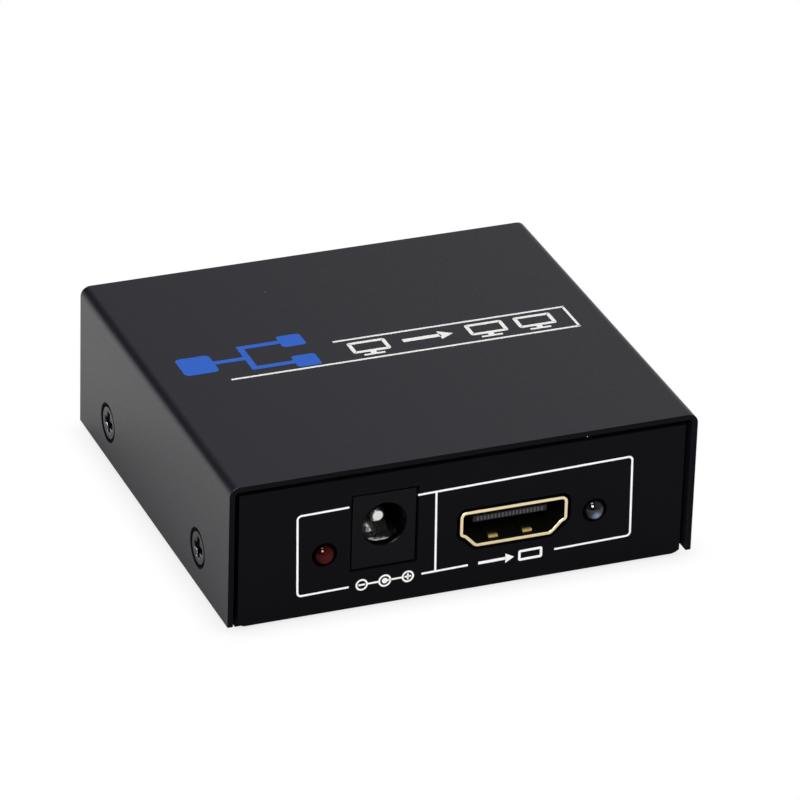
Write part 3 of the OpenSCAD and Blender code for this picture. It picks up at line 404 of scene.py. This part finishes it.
def printed(name, shapes, ink, place, turn=(0, 0, 0)):
    """Joins flat shapes to one film of ink, thickens it and lays it on a face of the case."""
    bpy.ops.object.select_all(action="DESELECT")
    for shape in shapes:
        shape.select_set(True)
    bpy.context.view_layer.objects.active = shapes[0]
    bpy.ops.object.join()
    film = bpy.context.object
    film.name = name
    film.data.name = name
    thick = film.modifiers.new("ink film", "SOLIDIFY")
    thick.thickness = INK
    thick.offset = 1
    bpy.ops.object.modifier_apply(modifier=thick.name)
    film.rotation_euler = turn
    film.location = place
    bpy.ops.object.transform_apply(location=True, rotation=True, scale=True)
    film.data.materials.clear()
    film.data.materials.append(ink)
    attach(film, "case")
    return film


# Screen ink: a dense, half-matt white film, a little uneven where the mesh left its mark.
INK_WHITE = "F6F6F4"
white_ink, tree, shader = new_finish("white screen ink", INK_WHITE, rough=0.5, specular=0.3)
grained(tree, shader, size=0.25 * MM, height=0.003 * MM, rough_low=0.45, rough_high=0.6)

# Places on the panels are in millimetres, seen from outside: X to the right and Z up.
LINE = 0.28
FRAME_CORNER = 0.7
FRAME_LOW = 3.77
FRAME_HIGH = 15.88
FRAME_LEFT = -22.91
FRAME_RIGHT = 23.93
DIVIDER = (-3.82, -3.54)
JACK_GAP = (-15.7, -6.22)
JACK_SIGN_GAP = (-15.8, -5.6)
INPUT_SIGN_GAP = (0.87, 13.04)
TOP_RUN = (FRAME_HIGH - 2 * LINE, FRAME_HIGH + LINE)
LOW_RUN = (FRAME_LOW - LINE, FRAME_LOW + 2 * LINE)
ASKEW = math.radians(1.03)

front_frame = outlined(flat_bar(FRAME_LEFT, FRAME_RIGHT, FRAME_LOW, FRAME_HIGH, FRAME_CORNER), LINE)
gapped(front_frame, *JACK_GAP, *TOP_RUN)
gapped(front_frame, *JACK_SIGN_GAP, *LOW_RUN)
gapped(front_frame, *INPUT_SIGN_GAP, *LOW_RUN)
front_shapes = [front_frame, flat_bar(*DIVIDER, FRAME_LOW + LINE, FRAME_HIGH - LINE)]

# Polarity sign: a minus ring, a ring round a dot for the pin, and a plus ring, on one wire.
SIGN_Z = FRAME_LOW + LINE / 2
SIGN_LINE = 0.25
STROKE = (SIGN_Z - SIGN_LINE / 2, SIGN_Z + SIGN_LINE / 2)
JACK_SIGN = -10.7
POLE_OFFSET = 3.2
POLE_RADIUS = 0.85
POLE_STROKE = 0.45
PIN_RING = 0.9
PIN_DOT = 0.4
WIRE_LAP = 0.05
minus_x = JACK_SIGN - POLE_OFFSET
plus_x = JACK_SIGN + POLE_OFFSET
front_shapes += [
    outlined(flat_disc(minus_x, SIGN_Z, POLE_RADIUS), SIGN_LINE),
    flat_bar(minus_x - POLE_STROKE, minus_x + POLE_STROKE, *STROKE),
    flat_bar(minus_x + POLE_RADIUS, JACK_SIGN - PIN_RING + WIRE_LAP, *STROKE),
    outlined(flat_disc(JACK_SIGN, SIGN_Z, PIN_RING), SIGN_LINE),
    flat_disc(JACK_SIGN, SIGN_Z, PIN_DOT),
    flat_bar(JACK_SIGN + PIN_DOT - WIRE_LAP, plus_x - POLE_RADIUS, *STROKE),
    outlined(flat_disc(plus_x, SIGN_Z, POLE_RADIUS), SIGN_LINE),
    flat_bar(plus_x - POLE_STROKE, plus_x + POLE_STROKE, *STROKE),
    flat_bar(plus_x - SIGN_LINE / 2, plus_x + SIGN_LINE / 2, SIGN_Z - POLE_STROKE, SIGN_Z + POLE_STROKE),
]

# Input sign: an arrow into the outline of a socket.
INPUT_SIGN = 6.95
ARROW_HEIGHT = 1.6
ARROW_SHAFT = 0.4
INPUT_ARROW = (INPUT_SIGN - 4.6, INPUT_SIGN + 0.4)
SOCKET_SIGN = (INPUT_SIGN + 1.0, INPUT_SIGN + 4.4)
SOCKET_SIGN_CORNER = 0.3
SOCKET_SIGN_LINE = 0.35
SIGN_HEIGHT = (SIGN_Z - 0.8, SIGN_Z + 0.8)
front_shapes += arrow(*INPUT_ARROW, SIGN_Z, ARROW_HEIGHT, ARROW_SHAFT)
front_shapes += [outlined(flat_bar(*SOCKET_SIGN, *SIGN_HEIGHT, SOCKET_SIGN_CORNER), SOCKET_SIGN_LINE)]
printed("front_print", front_shapes, white_ink, (0, -PANEL_Y, 0), (math.radians(90), -ASKEW, 0))

# Output signs: an arrow with one stroke or two under each socket of the back panel.
BACK_FRAME = 23.2
BACK_DIVIDER = (-0.8, -0.4)
OUTPUT_SIGNS = ((-14.0, 1), (8.3, 2))
OUTPUT_GAP = 5.2
OUTPUT_ARROW = (-4.4, 0.6)
FIRST_MARK = 1.8
MARK_PITCH = 1.0
MARK_WIDTH = 0.4
back_frame = outlined(flat_bar(-BACK_FRAME, BACK_FRAME, FRAME_LOW, FRAME_HIGH, FRAME_CORNER), LINE)
back_shapes = [back_frame, flat_bar(*BACK_DIVIDER, FRAME_LOW + LINE, FRAME_HIGH - LINE)]
for sign_x, count in OUTPUT_SIGNS:
    gapped(back_frame, sign_x - OUTPUT_GAP, sign_x + OUTPUT_GAP, *LOW_RUN)
    arrow_ends = [sign_x + offset for offset in OUTPUT_ARROW]
    back_shapes += arrow(*arrow_ends, SIGN_Z, ARROW_HEIGHT, ARROW_SHAFT)
    for index in range(count):
        mark_x = sign_x + FIRST_MARK + index * MARK_PITCH
        back_shapes.append(flat_bar(mark_x, mark_x + MARK_WIDTH, *SIGN_HEIGHT))
printed("back_print", back_shapes, white_ink, (0, PANEL_Y, 0), (math.radians(90), 0, math.radians(180)))


# Circuit board and what stands on it
# A green glass-epoxy board on four nickel-plated standoffs, with moulded chips, tinned leads and
# small passive parts soldered to it. It is all out of sight unless the cover is off.
def dressed(finish, *names):
    """Gives CAD nodes a finish."""
    for name in names:
        for slot in nodes[name].material_slots:
            slot.material = finish


# Solder mask: smooth green lacquer, paler over the copper tracks that run under it.
TRACK_PITCH = 1.2 * MM
TRACK_WIDTH = 0.144 * MM
TRACK_LENGTH = 6 * MM
MASK_GREEN = "0E4A26"
MASK_DEEP = "0B3F20"
MASK_ON_COPPER = "1F6B3A"
GLASS_CLOTH_SHADE = "10120C"
solder_mask, tree, shader = new_finish("green solder mask", MASK_GREEN, rough=0.35)
spot = grained(tree, shader, size=1.5 * MM, height=0.004 * MM, rough_low=0.28, rough_high=0.42)
tracks = add(tree, "ShaderNodeTexBrick", {
    "Vector": spot.outputs["Object"], "Color1": linear(MASK_GREEN), "Color2": linear(MASK_DEEP),
    "Mortar": linear(MASK_ON_COPPER), "Scale": 1.0, "Mortar Size": TRACK_WIDTH,
    "Brick Width": TRACK_LENGTH, "Row Height": TRACK_PITCH,
})
# The sawn edges of the board show the glass cloth, painted near black as painted shade.
shape = add(tree, "ShaderNodeNewGeometry")
faces = add(tree, "ShaderNodeSeparateXYZ", {0: shape.outputs["Normal"]})
level_face = add(tree, "ShaderNodeMath", {0: faces.outputs["Z"]}, operation="ABSOLUTE")
edge_shade_mix = add(tree, "ShaderNodeMix", {
    "Factor": level_face.outputs[0], "A": linear(GLASS_CLOTH_SHADE), "B": tracks.outputs["Color"],
}, data_type="RGBA")
tree.links.new(edge_shade_mix.outputs["Result"], shader.inputs["Base Color"])
dressed(solder_mask, "circuit_board")

# Plated metal, moulded epoxy and fired or pressed ceramic: each is even, with a fine grain of its own.
# Each line: the real finish, its colour, roughness, how metallic it is, its grain in mm, its nodes.
BOARD_GRAIN = 0.004 * MM
ROUGH_SPREAD = 0.08
BOARD_FINISHES = [
    ("dull nickel plate", "6E6C68", 0.55, 1.0, 0.4, ["board_standoffs", "board_screws"]),
    ("dull tin plate", "B9B9B4", 0.4, 1.0, 0.2, [
        "lamp_leads", "splitter_chip_pins", "controller_chip_pins", "memory_chip_pins",
        "regulator_pins", "crystal_leads", "diode_leads"]),
    ("moulded black epoxy", "1B1B1C", 0.6, 0.0, 0.15, [
        "splitter_chip", "controller_chip", "memory_chips", "voltage_regulators",
        "capacitor_bases", "protection_diode", "surge_arrays", "chip_resistors"]),
    ("drawn steel can", "C4C3BE", 0.3, 1.0, 0.3, ["clock_crystal"]),
    ("drawn aluminium can", "CFCFCF", 0.35, 1.0, 0.3, ["filter_capacitors"]),
    ("pressed ferrite", "3B3B3D", 0.7, 0.0, 0.12, ["power_inductor"]),
    ("green polymer coat", "1C5A38", 0.5, 0.0, 0.2, ["resettable_fuse"]),
    ("fired tan ceramic", "9B7C52", 0.45, 0.0, 0.1, ["ceramic_capacitors"]),
]
for name, color, rough, metallic, grain_size, dressed_nodes in BOARD_FINISHES:
    finish, tree, shader = new_finish(name, color, rough, metallic)
    grained(tree, shader, size=grain_size * MM, height=BOARD_GRAIN,
            rough_low=rough - ROUGH_SPREAD, rough_high=rough + ROUGH_SPREAD)
    dressed(finish, *dressed_nodes)

# Video sockets
# Each is a shell rolled from thin steel and flashed with gold, round a black nylon body whose
# tongue carries gold contacts. The shell's legs are soldered to the board behind the panel.
SOCKETS = ["input", "output_1", "output_2"]
RIM_DEPTH = 0.25 * MM
FINGER_OFFSET = 2.4 * MM
FINGER_HALF = 0.66 * MM
FINGER_TIP = 1.1 * MM
FINGER_CREST = 1.55 * MM
FINGER_END = 2.0 * MM
SOCKET_MIDDLE = 9.15 * MM
SOCKET_INSIDE = 2.3 * MM
SHELL_EDGE = 0.1 * MM
SOCKET_SHADE = "16140F"
FINGER_GOLD = "F0CE7A"

# Gold flash: pale, bright and smooth on the rim, with the faint drag lines of the press tool.
gold_flash, tree, shader = new_finish("gold flash on steel", "FFEDC2", rough=0.4, metallic=1.0)
grained(tree, shader, size=0.5 * MM, height=0.003 * MM, rough_low=0.36, rough_high=0.46)
# Inside, the shell is painted nearly black: painted shade in the socket.
inside_shade, tree, shader = new_finish("painted shade inside the shell", SOCKET_SHADE, rough=0.5, metallic=0.6,
                                       specular=0.1)
grained(tree, shader, size=0.5 * MM, height=0.003 * MM, rough_low=0.45, rough_high=0.6)
# The fingers' ends show their gold, partly matt so they catch light, and fade deeper in to the painted shade
# of the inside.
finger_gold, tree, shader = new_finish("gold finger ends in painted shade", FINGER_GOLD, rough=0.45, metallic=0.2)
spot = grained(tree, shader, size=0.2 * MM, height=0.003 * MM, rough_low=0.4, rough_high=0.5)
axes = add(tree, "ShaderNodeSeparateXYZ", {0: spot.outputs["Object"]})
out = add(tree, "ShaderNodeMath", {0: axes.outputs["Y"]}, operation="ABSOLUTE")
finger_fade = add(tree, "ShaderNodeMapRange", {
    "Value": out.outputs[0], "From Min": PANEL_Y - FINGER_CREST, "From Max": PANEL_Y - FINGER_TIP,
})
gold_to_shade = add(tree, "ShaderNodeMix", {
    "Factor": finger_fade.outputs["Result"], "A": linear(SOCKET_SHADE), "B": linear(FINGER_GOLD),
}, data_type="RGBA")
tree.links.new(gold_to_shade.outputs["Result"], shader.inputs["Base Color"])
# Contact gold: thicker plate on rolled bronze, smooth and a deeper yellow.
contact_gold, tree, shader = new_finish("gold plated bronze", "E3BE6A", rough=0.25, metallic=1.0)
grained(tree, shader, size=0.3 * MM, height=0.002 * MM, rough_low=0.2, rough_high=0.3)
# Black nylon: dull, faintly rough from the mould.
nylon, tree, shader = new_finish("black glass-filled nylon", "212023", rough=0.55, specular=0.25)
grained(tree, shader, size=0.25 * MM, height=0.01 * MM, rough_low=0.5, rough_high=0.65)
# Contact ends: sheared through the plate, so they are dull and grey.
contact_tin, tree, shader = new_finish("sheared contact bronze", "5A575C", rough=0.5, metallic=0.3)
grained(tree, shader, size=0.2 * MM, height=0.003 * MM, rough_low=0.42, rough_high=0.58)
CONTACT_COUNT = 19
CONTACT_PITCH = 0.5 * MM
TONGUE_MIDDLE = 9.75 * MM
END_SIZE = (0.2 * MM, 0.06 * MM, 0.6 * MM)
END_EDGE = 0.02 * MM


def contact_ends(socket):
    """Ends of the contacts: a row of fine ticks on the tip of the tongue."""
    low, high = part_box(socket + "_socket_insulator")
    tip = low[1] if low[1] < 0 else high[1]
    first = (low[0] + high[0] - (CONTACT_COUNT - 1) * CONTACT_PITCH) / 2
    bpy.ops.object.select_all(action="DESELECT")
    bpy.ops.mesh.primitive_cube_add(size=1, location=(first, tip, TONGUE_MIDDLE), scale=END_SIZE)
    ends = bpy.context.object
    ends.name = socket + "_contact_ends"
    ends.data.name = ends.name
    bpy.ops.object.transform_apply(location=True, rotation=True, scale=True)
    bpy.ops.object.mode_set(mode="EDIT")
    bpy.ops.mesh.select_all(action="SELECT")
    bpy.ops.mesh.bevel(offset=END_EDGE, segments=EDGE_STEPS, affect="EDGES")
    bpy.ops.object.mode_set(mode="OBJECT")
    row = ends.modifiers.new("row of ends", "ARRAY")
    row.count = CONTACT_COUNT
    row.use_relative_offset = False
    row.use_constant_offset = True
    row.constant_offset_displace = (CONTACT_PITCH, 0, 0)
    bpy.ops.object.modifier_apply(modifier=row.name)
    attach(ends, "case")
    return ends


for socket in SOCKETS:
    shell = softened(socket + "_socket_shell", SHELL_EDGE,
                     lambda spot: abs(spot.y) > PANEL_Y - CLOSE)
    for finish in (gold_flash, inside_shade, finger_gold):
        shell.data.materials.append(finish)
    low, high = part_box(socket + "_socket_shell")
    middle = (low[0] + high[0]) / 2
    # Faces behind the rim take the painted shade of the inside; the fingers take their gold, fading into
    # that shade.
    for face in shell.data.polygons:
        behind = PANEL_Y - abs(face.center.y)
        off_finger = abs(abs(face.center.x - middle) - FINGER_OFFSET)
        inside = abs(face.center.z - SOCKET_MIDDLE) < SOCKET_INSIDE
        if inside and off_finger < FINGER_HALF and RIM_DEPTH < behind < FINGER_END:
            face.material_index = 2
        elif behind > RIM_DEPTH:
            face.material_index = 1
    dressed(nylon, socket + "_socket_insulator")
    dressed(contact_gold, socket + "_socket_contacts")
    ends = contact_ends(socket)
    ends.data.materials.append(contact_tin)

# Power jack
# A moulded black housing with a round bore for the barrel plug, a nickel-plated centre pin, and
# a sprung leaf low in the bore that touches the plug's outside. It is soldered to the board.
# Moulded PBT: dense black, with the fine dry grain of the mould.
jack_plastic, tree, shader = new_finish("moulded black PBT", "0E0E12", rough=0.5, specular=0.06)
grained(tree, shader, size=0.3 * MM, height=0.01 * MM, rough_low=0.45, rough_high=0.58)
JACK_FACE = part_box("power_jack_housing")[0][1]
JACK_X = -11 * MM
JACK_AXIS_Z = 12.05 * MM
BORE_CLEAR = 3.6 * MM
JACK_EDGE = 0.1 * MM


def off_bore(spot):
    """Distance of a point from the axis of the bore."""
    return math.hypot(spot.x - JACK_X, spot.z - JACK_AXIS_Z)


housing = softened("power_jack_housing", JACK_EDGE,
                   lambda spot: spot.y < JACK_FACE + CLOSE and off_bore(spot) > BORE_CLEAR)
housing.data.materials.append(jack_plastic)
# Inside the bore plugs have rubbed the plastic smooth; its near-black colour is painted shade for the dark
# of the bore.
bore_shade, tree, shader = new_finish("smooth black PBT, painted shade", "030304", rough=0.3, specular=0.04)
grained(tree, shader, size=0.3 * MM, height=0.004 * MM, rough_low=0.26, rough_high=0.36)
housing.data.materials.append(bore_shade)
for face in housing.data.polygons:
    if off_bore(face.center) < BORE_CLEAR and face.center.y > JACK_FACE + CLOSE:
        face.material_index = 1
# Bright nickel: smooth and mirror-like, with the fine lines of turning and stamping.
pin_nickel, tree, shader = new_finish("bright nickel on brass", "FAF9F6", rough=0.3, metallic=1.0)
grained(tree, shader, size=0.3 * MM, height=0.002 * MM, rough_low=0.24, rough_high=0.36)
dressed(pin_nickel, "power_jack_center_pin", "power_jack_leaf_terminal")
# Dented nickel: a bright leaf whose dents, left by plugs, break its shine into light and dark.
dented_nickel, tree, shader = new_finish("dented nickel on spring bronze", "F2F2F0", rough=0.25,
                                         metallic=0.97)
grained(tree, shader, size=1.0 * MM, height=0.18 * MM, rough_low=0.06, rough_high=0.14)
dressed(dented_nickel, "power_jack_leaf", "power_jack_switch_contact")


# Indicator lamps
# Round 3 mm lamps cast in epoxy, each with a domed end that stands proud of its panel and a
# flange behind it. A lead frame with a small cup for the chip is cast inside.
def turned(name, profile, steps):
    """Turns a profile of (radius, depth) points round the Y axis. It starts and ends on the axis."""
    bpy.ops.object.select_all(action="DESELECT")
    bpy.ops.mesh.primitive_plane_add(size=MM)
    piece = bpy.context.object
    piece.name = name
    piece.data.name = name
    bpy.ops.object.mode_set(mode="EDIT")
    bpy.ops.mesh.select_mode(type="VERT")
    bpy.ops.mesh.select_all(action="SELECT")
    bpy.ops.mesh.merge(type="CENTER")
    bpy.ops.transform.translate(value=(profile[0][0], profile[0][1], 0))
    for (radius, depth), (next_radius, next_depth) in zip(profile, profile[1:]):
        step = (next_radius - radius, next_depth - depth, 0)
        bpy.ops.mesh.extrude_region_move(TRANSFORM_OT_translate={"value": step})
    bpy.ops.mesh.select_all(action="SELECT")
    bpy.ops.mesh.spin(steps=steps, angle=math.tau, center=(0, 0, 0), axis=(0, 1, 0))
    bpy.ops.mesh.select_all(action="SELECT")
    bpy.ops.mesh.remove_doubles(threshold=2 * WELD)
    bpy.ops.mesh.normals_make_consistent(inside=False)
    bpy.ops.object.mode_set(mode="OBJECT")
    bpy.ops.object.shade_smooth_by_angle(angle=SHARP)
    return piece


LAMP_RADIUS = 1.5 * MM
FLANGE_RADIUS = 1.9 * MM
FLANGE_LENGTH = 1.0 * MM
DOME_STEPS = 10
LENS_STEPS = 40

# Painted glow of the lit cup fading to painted shade at the rim of the lens: each tone with its share of the
# radius.
EPOXY_IOR = 1.54
EPOXY_ROUGH = 0.06
RED_GLOW_AND_SHADE = [(0.0, "420C0A"), (0.5, "3C0506"), (0.78, "280203"), (0.97, "0A0001")]
CLEAR_GLOW_AND_SHADE = [(0.0, "8E9CBC"), (0.25, "6A7794"), (0.5, "2A313E"), (0.75, "0C0E12")]
CUP_DROP = 0.5 * MM


def epoxy(name, node, drop, glow_tones, specular, transmission):
    """Cast epoxy, clear and glassy. Its colour holds a painted glow of the lit cup, which fades to painted
    shade at the rim.
    """
    finish, tree, shader = new_finish(name, glow_tones[0][1], EPOXY_ROUGH, specular=specular)
    shader.inputs["Transmission Weight"].default_value = transmission
    shader.inputs["IOR"].default_value = EPOXY_IOR
    spot = grained(tree, shader, size=1.0 * MM, height=0.002 * MM, rough_low=0.04, rough_high=0.1)
    low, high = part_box(node)
    centred = add(tree, "ShaderNodeMapping", {
        "Vector": spot.outputs["Object"], "Scale": (1, 0, 1),
        "Location": (-(low[0] + high[0]) / 2, 0, drop - (low[2] + high[2]) / 2),
    })
    off_cup = add(tree, "ShaderNodeVectorMath", {0: centred.outputs["Vector"]}, operation="LENGTH")
    share = add(tree, "ShaderNodeMapRange", {"Value": off_cup.outputs["Value"], "From Max": LAMP_RADIUS})
    blur = add(tree, "ShaderNodeValToRGB", {0: share.outputs["Result"]})
    ramp = blur.color_ramp.elements
    for index, (place, code) in enumerate(glow_tones):
        tone = ramp[index] if index < 2 else ramp.new(place)
        tone.position = place
        tone.color = linear(code)
    tree.links.new(blur.outputs["Color"], shader.inputs["Base Color"])
    return finish


# Silver plate: bright, but grey through the epoxy.
frame_silver, tree, shader = new_finish("silver plated lead frame", "70757F", rough=0.3, metallic=1.0)
grained(tree, shader, size=0.2 * MM, height=0.002 * MM, rough_low=0.25, rough_high=0.38)


def lamp_lens(node):
    """Lens of a lamp: a dome, a straight barrel and a flange."""
    low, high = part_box(node)
    length = high[1] - low[1]
    profile = [
        (LAMP_RADIUS * math.sin(math.radians(90 * i / DOME_STEPS)),
         LAMP_RADIUS * (1 - math.cos(math.radians(90 * i / DOME_STEPS))))
        for i in range(DOME_STEPS + 1)
    ]
    profile += [
        (LAMP_RADIUS, length - FLANGE_LENGTH), (FLANGE_RADIUS, length - FLANGE_LENGTH),
        (FLANGE_RADIUS, length), (0, length),
    ]
    return turned(node + "_lens", profile, LENS_STEPS)


# The cup's outline in millimetres: the radius of each corner, and its depth behind the tip of the dome.
CUP_OUTLINE = [(0, 1.9), (0.35, 1.85), (0.75, 1.5), (0.85, 1.5), (0.85, 2.2), (0.3, 2.6)]
POST_RADIUS = 0.3 * MM
POST_SHORT = 0.1 * MM
CUP_STEPS = 24


def lamp_cup(node):
    """Cup of the lead frame, on a post that ends inside the lens."""
    low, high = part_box(node)
    post_end = high[1] - low[1] - POST_SHORT
    profile = [(radius * MM, depth * MM) for radius, depth in CUP_OUTLINE]
    profile += [(POST_RADIUS, post_end), (0, post_end)]
    return turned(node + "_cup", profile, CUP_STEPS)


def set_lamp(piece, node):
    """Moves a turned piece from the origin to where the lamp's node is, facing outwards."""
    low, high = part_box(node)
    outward_front = low[1] < 0
    bpy.ops.object.select_all(action="DESELECT")
    piece.select_set(True)
    bpy.context.view_layer.objects.active = piece
    piece.rotation_euler = (0, 0, 0 if outward_front else math.radians(180))
    piece.location = ((low[0] + high[0]) / 2, low[1] if outward_front else high[1], (low[2] + high[2]) / 2)
    bpy.ops.object.transform_apply(location=True, rotation=True, scale=True)
    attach(piece, "case")


for node in ("power_lamp", "input_lamp", "output_1_lamp", "output_2_lamp"):
    is_red = node == "power_lamp"
    lens = lamp_lens(node)
    set_lamp(lens, node)
    if is_red:
        finish = epoxy("red tinted epoxy", node, 0, RED_GLOW_AND_SHADE, specular=0.07, transmission=0.05)
    else:
        finish = epoxy("water-clear epoxy", node, CUP_DROP, CLEAR_GLOW_AND_SHADE, specular=0.35, transmission=0.2)
    lens.data.materials.append(finish)
    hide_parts(node)
    cup = lamp_cup(node)
    set_lamp(cup, node)
    cup.data.materials.append(frame_silver)

# Top cover
# The second folded sheet: a top and two side walls, dimpled in at the screws. It slides down over
# the tray and has a fine powder coat. Its faces towards the front, back and below, mostly cut edges,
# and its screw dimples take the flat black as painted shade.
COVER_TOP = 21.2 * MM
COVER_EDGE = 0.1 * MM
COVER_BLACK = "12121E"
DUST = "77777A"
DUST_SPACING = 3 * MM
DUST_RADIUS = 0.04
DUST_SHARE = 0.25
# Powder coat: a soft, even sheen over a fine grit, with a mote of dust here and there.
powder_coat, tree, shader = new_finish("black powder coat", COVER_BLACK, rough=0.4)
spot = grained(tree, shader, size=0.35 * MM, height=0.006 * MM, rough_low=0.36, rough_high=0.44)
cells = add(tree, "ShaderNodeTexVoronoi", {"Vector": spot.outputs["Object"], "Scale": 1 / DUST_SPACING})
near = add(tree, "ShaderNodeMath", {0: cells.outputs["Distance"], 1: DUST_RADIUS}, operation="LESS_THAN")
pick = add(tree, "ShaderNodeSeparateColor", {0: cells.outputs["Color"]})
few = add(tree, "ShaderNodeMath", {0: pick.outputs[0], 1: 1 - DUST_SHARE}, operation="GREATER_THAN")
speck = add(tree, "ShaderNodeMath", {0: near.outputs[0], 1: few.outputs[0]}, operation="MULTIPLY")
dusty = add(tree, "ShaderNodeMix", {
    "Factor": speck.outputs[0], "A": linear(COVER_BLACK), "B": linear(DUST),
}, data_type="RGBA")
tree.links.new(dusty.outputs["Result"], shader.inputs["Base Color"])

cover = softened("top_cover", COVER_EDGE)
# The flat top lies a hair lower, so that the ink on it stays inside the case's height.
PRINT_RELIEF = 0.02 * MM
LEVEL = 0.99
select_faces(cover, lambda face: face.normal.z > LEVEL and face.center.z > COVER_TOP - COVER_EDGE)
bpy.ops.transform.translate(value=(0, 0, -PRINT_RELIEF))
bpy.ops.object.mode_set(mode="OBJECT")
cover.data.materials.append(powder_coat)
cover.data.materials.append(flat_paint_and_shade)
SCREW_Y = 18 * MM
SCREW_Z = 6.35 * MM
DIMPLE_RADIUS = 2.8 * MM
FACING = 0.7
# Faces towards the front, back or below, and the dimples round the screws, get the flat black: painted shade
# that keeps them dark.
for face in cover.data.polygons:
    across = math.hypot(abs(face.center.y) - SCREW_Y, face.center.z - SCREW_Z)
    shaded_face = abs(face.normal.y) > FACING or face.normal.z < -FACING
    if shaded_face or across < DIMPLE_RADIUS:
        face.material_index = 1

# Cover print
# Screen ink on the top: white lines that open to the left, a row of white screen signs between
# them, and a blue diagram of one block that feeds two.
INK_BLUE = "2A62C8"
# Blue screen ink: the same dense, half-matt film in a clear mid blue.
blue_ink, tree, shader = new_finish("blue screen ink", INK_BLUE, rough=0.5, specular=0.2)
grained(tree, shader, size=0.25 * MM, height=0.003 * MM, rough_low=0.45, rough_high=0.6)

# Places on the cover are in millimetres, seen from above: X to the right and Y to the back.
TOP_LINE = 0.38
LINE_LOW = -1.85
LINE_HIGH = 4.0
LINE_RIGHT = 27.5
LOW_LINE_LEFT = -22.2
HIGH_LINE_LEFT = -5.8
white_shapes = [
    flat_bar(LOW_LINE_LEFT, LINE_RIGHT, LINE_LOW - TOP_LINE / 2, LINE_LOW + TOP_LINE / 2),
    flat_bar(HIGH_LINE_LEFT, LINE_RIGHT, LINE_HIGH - TOP_LINE / 2, LINE_HIGH + TOP_LINE / 2),
    flat_bar(LINE_RIGHT - TOP_LINE, LINE_RIGHT, LINE_LOW, LINE_HIGH),
]
SCREENS = (-1.6, 15.2, 22.2)
SCREEN_HALF = 2.7
SCREEN_TOP = 3.05
SCREEN_FOOT = -0.05
SCREEN_CORNER = 0.4
SCREEN_LINE = 0.55
NECK_HALF = 0.4
NECK_FOOT = -0.55
STAND_HALF = 1.5
STAND_FOOT = -0.95
for screen_x in SCREENS:
    screen = flat_bar(screen_x - SCREEN_HALF, screen_x + SCREEN_HALF, SCREEN_FOOT, SCREEN_TOP, SCREEN_CORNER)
    white_shapes += [
        outlined(screen, SCREEN_LINE),
        flat_bar(screen_x - NECK_HALF, screen_x + NECK_HALF, NECK_FOOT, SCREEN_FOOT),
        flat_bar(screen_x - STAND_HALF, screen_x + STAND_HALF, STAND_FOOT, NECK_FOOT),
    ]
FEED_ARROW = (3.2, 10.4)
FEED_ARROW_Y = 1.45
FEED_ARROW_HEIGHT = 2.6
FEED_ARROW_SHAFT = 0.8
white_shapes += arrow(*FEED_ARROW, FEED_ARROW_Y, FEED_ARROW_HEIGHT, FEED_ARROW_SHAFT)
printed("cover_print_white", white_shapes, white_ink, (0, 0, COVER_TOP - INK))

FEED = 0.9
SOURCE = (-27.6, -22.8)
SOURCE_HALF = 2.4
SOURCE_CORNER = 0.7
FORK_X = -18.6
TARGET = (-12.6, -9.2)
TARGET_HALF = 1.6
TARGET_CORNER = 0.5
TARGET_LOW = 0.3
TARGET_HIGH = 6.2
source_y = (TARGET_LOW + TARGET_HIGH) / 2
blue_shapes = [
    flat_bar(*SOURCE, source_y - SOURCE_HALF, source_y + SOURCE_HALF, SOURCE_CORNER),
    flat_bar(SOURCE[1], FORK_X, source_y - FEED / 2, source_y + FEED / 2),
    flat_bar(FORK_X, FORK_X + FEED, TARGET_LOW - FEED / 2, TARGET_HIGH + FEED / 2),
]
for target_y in (TARGET_LOW, TARGET_HIGH):
    blue_shapes += [
        flat_bar(FORK_X + FEED, TARGET[0], target_y - FEED / 2, target_y + FEED / 2),
        flat_bar(*TARGET, target_y - TARGET_HALF, target_y + TARGET_HALF, TARGET_CORNER),
    ]
printed("cover_print_blue", blue_shapes, blue_ink, (0, 0, COVER_TOP - INK))

# Cover screws
# Four countersunk steel screws with a cross recess hold the cover to the tray's tabs. They are
# blackened. The recess and the rim of each head are flat black as painted shade, and the
# upward-facing recess edges are bright steel as a painted highlight.
# Black oxide: a thin dark film that keeps the shine of the steel under it.
black_oxide, tree, shader = new_finish("black oxide on steel", "404044", rough=0.35, metallic=1.0)
grained(tree, shader, size=0.3 * MM, height=0.006 * MM, rough_low=0.28, rough_high=0.42)
# Bright bare steel on the upward-facing edges of the recess: a painted highlight.
highlight_steel, tree, shader = new_finish("bare steel, painted highlight", "A8A8AC", rough=0.25, metallic=1.0)
grained(tree, shader, size=0.2 * MM, height=0.002 * MM, rough_low=0.2, rough_high=0.3)
HEAD_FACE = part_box("cover_screws")[1][0]
HEAD_EDGE = 0.14 * MM
RECESS_RADIUS = 1.75 * MM
SQUARE_ON = 0.95
UPWARD = 0.3
screws = softened("cover_screws", HEAD_EDGE, lambda spot: abs(spot.x) > HEAD_FACE - CLOSE)
for finish in (black_oxide, flat_paint_and_shade, highlight_steel):
    screws.data.materials.append(finish)
# Below the head's face and round its rim the screws take flat black, painted shade; upward-facing recess
# edges take bright steel, a painted highlight.
for face in screws.data.polygons:
    below = HEAD_FACE - abs(face.center.x)
    across = math.hypot(abs(face.center.y) - SCREW_Y, face.center.z - SCREW_Z)
    sloping = abs(face.normal.x) < SQUARE_ON
    if below > HEAD_EDGE or sloping and across > RECESS_RADIUS:
        face.material_index = 1
    elif face.normal.z > UPWARD:
        face.material_index = 2
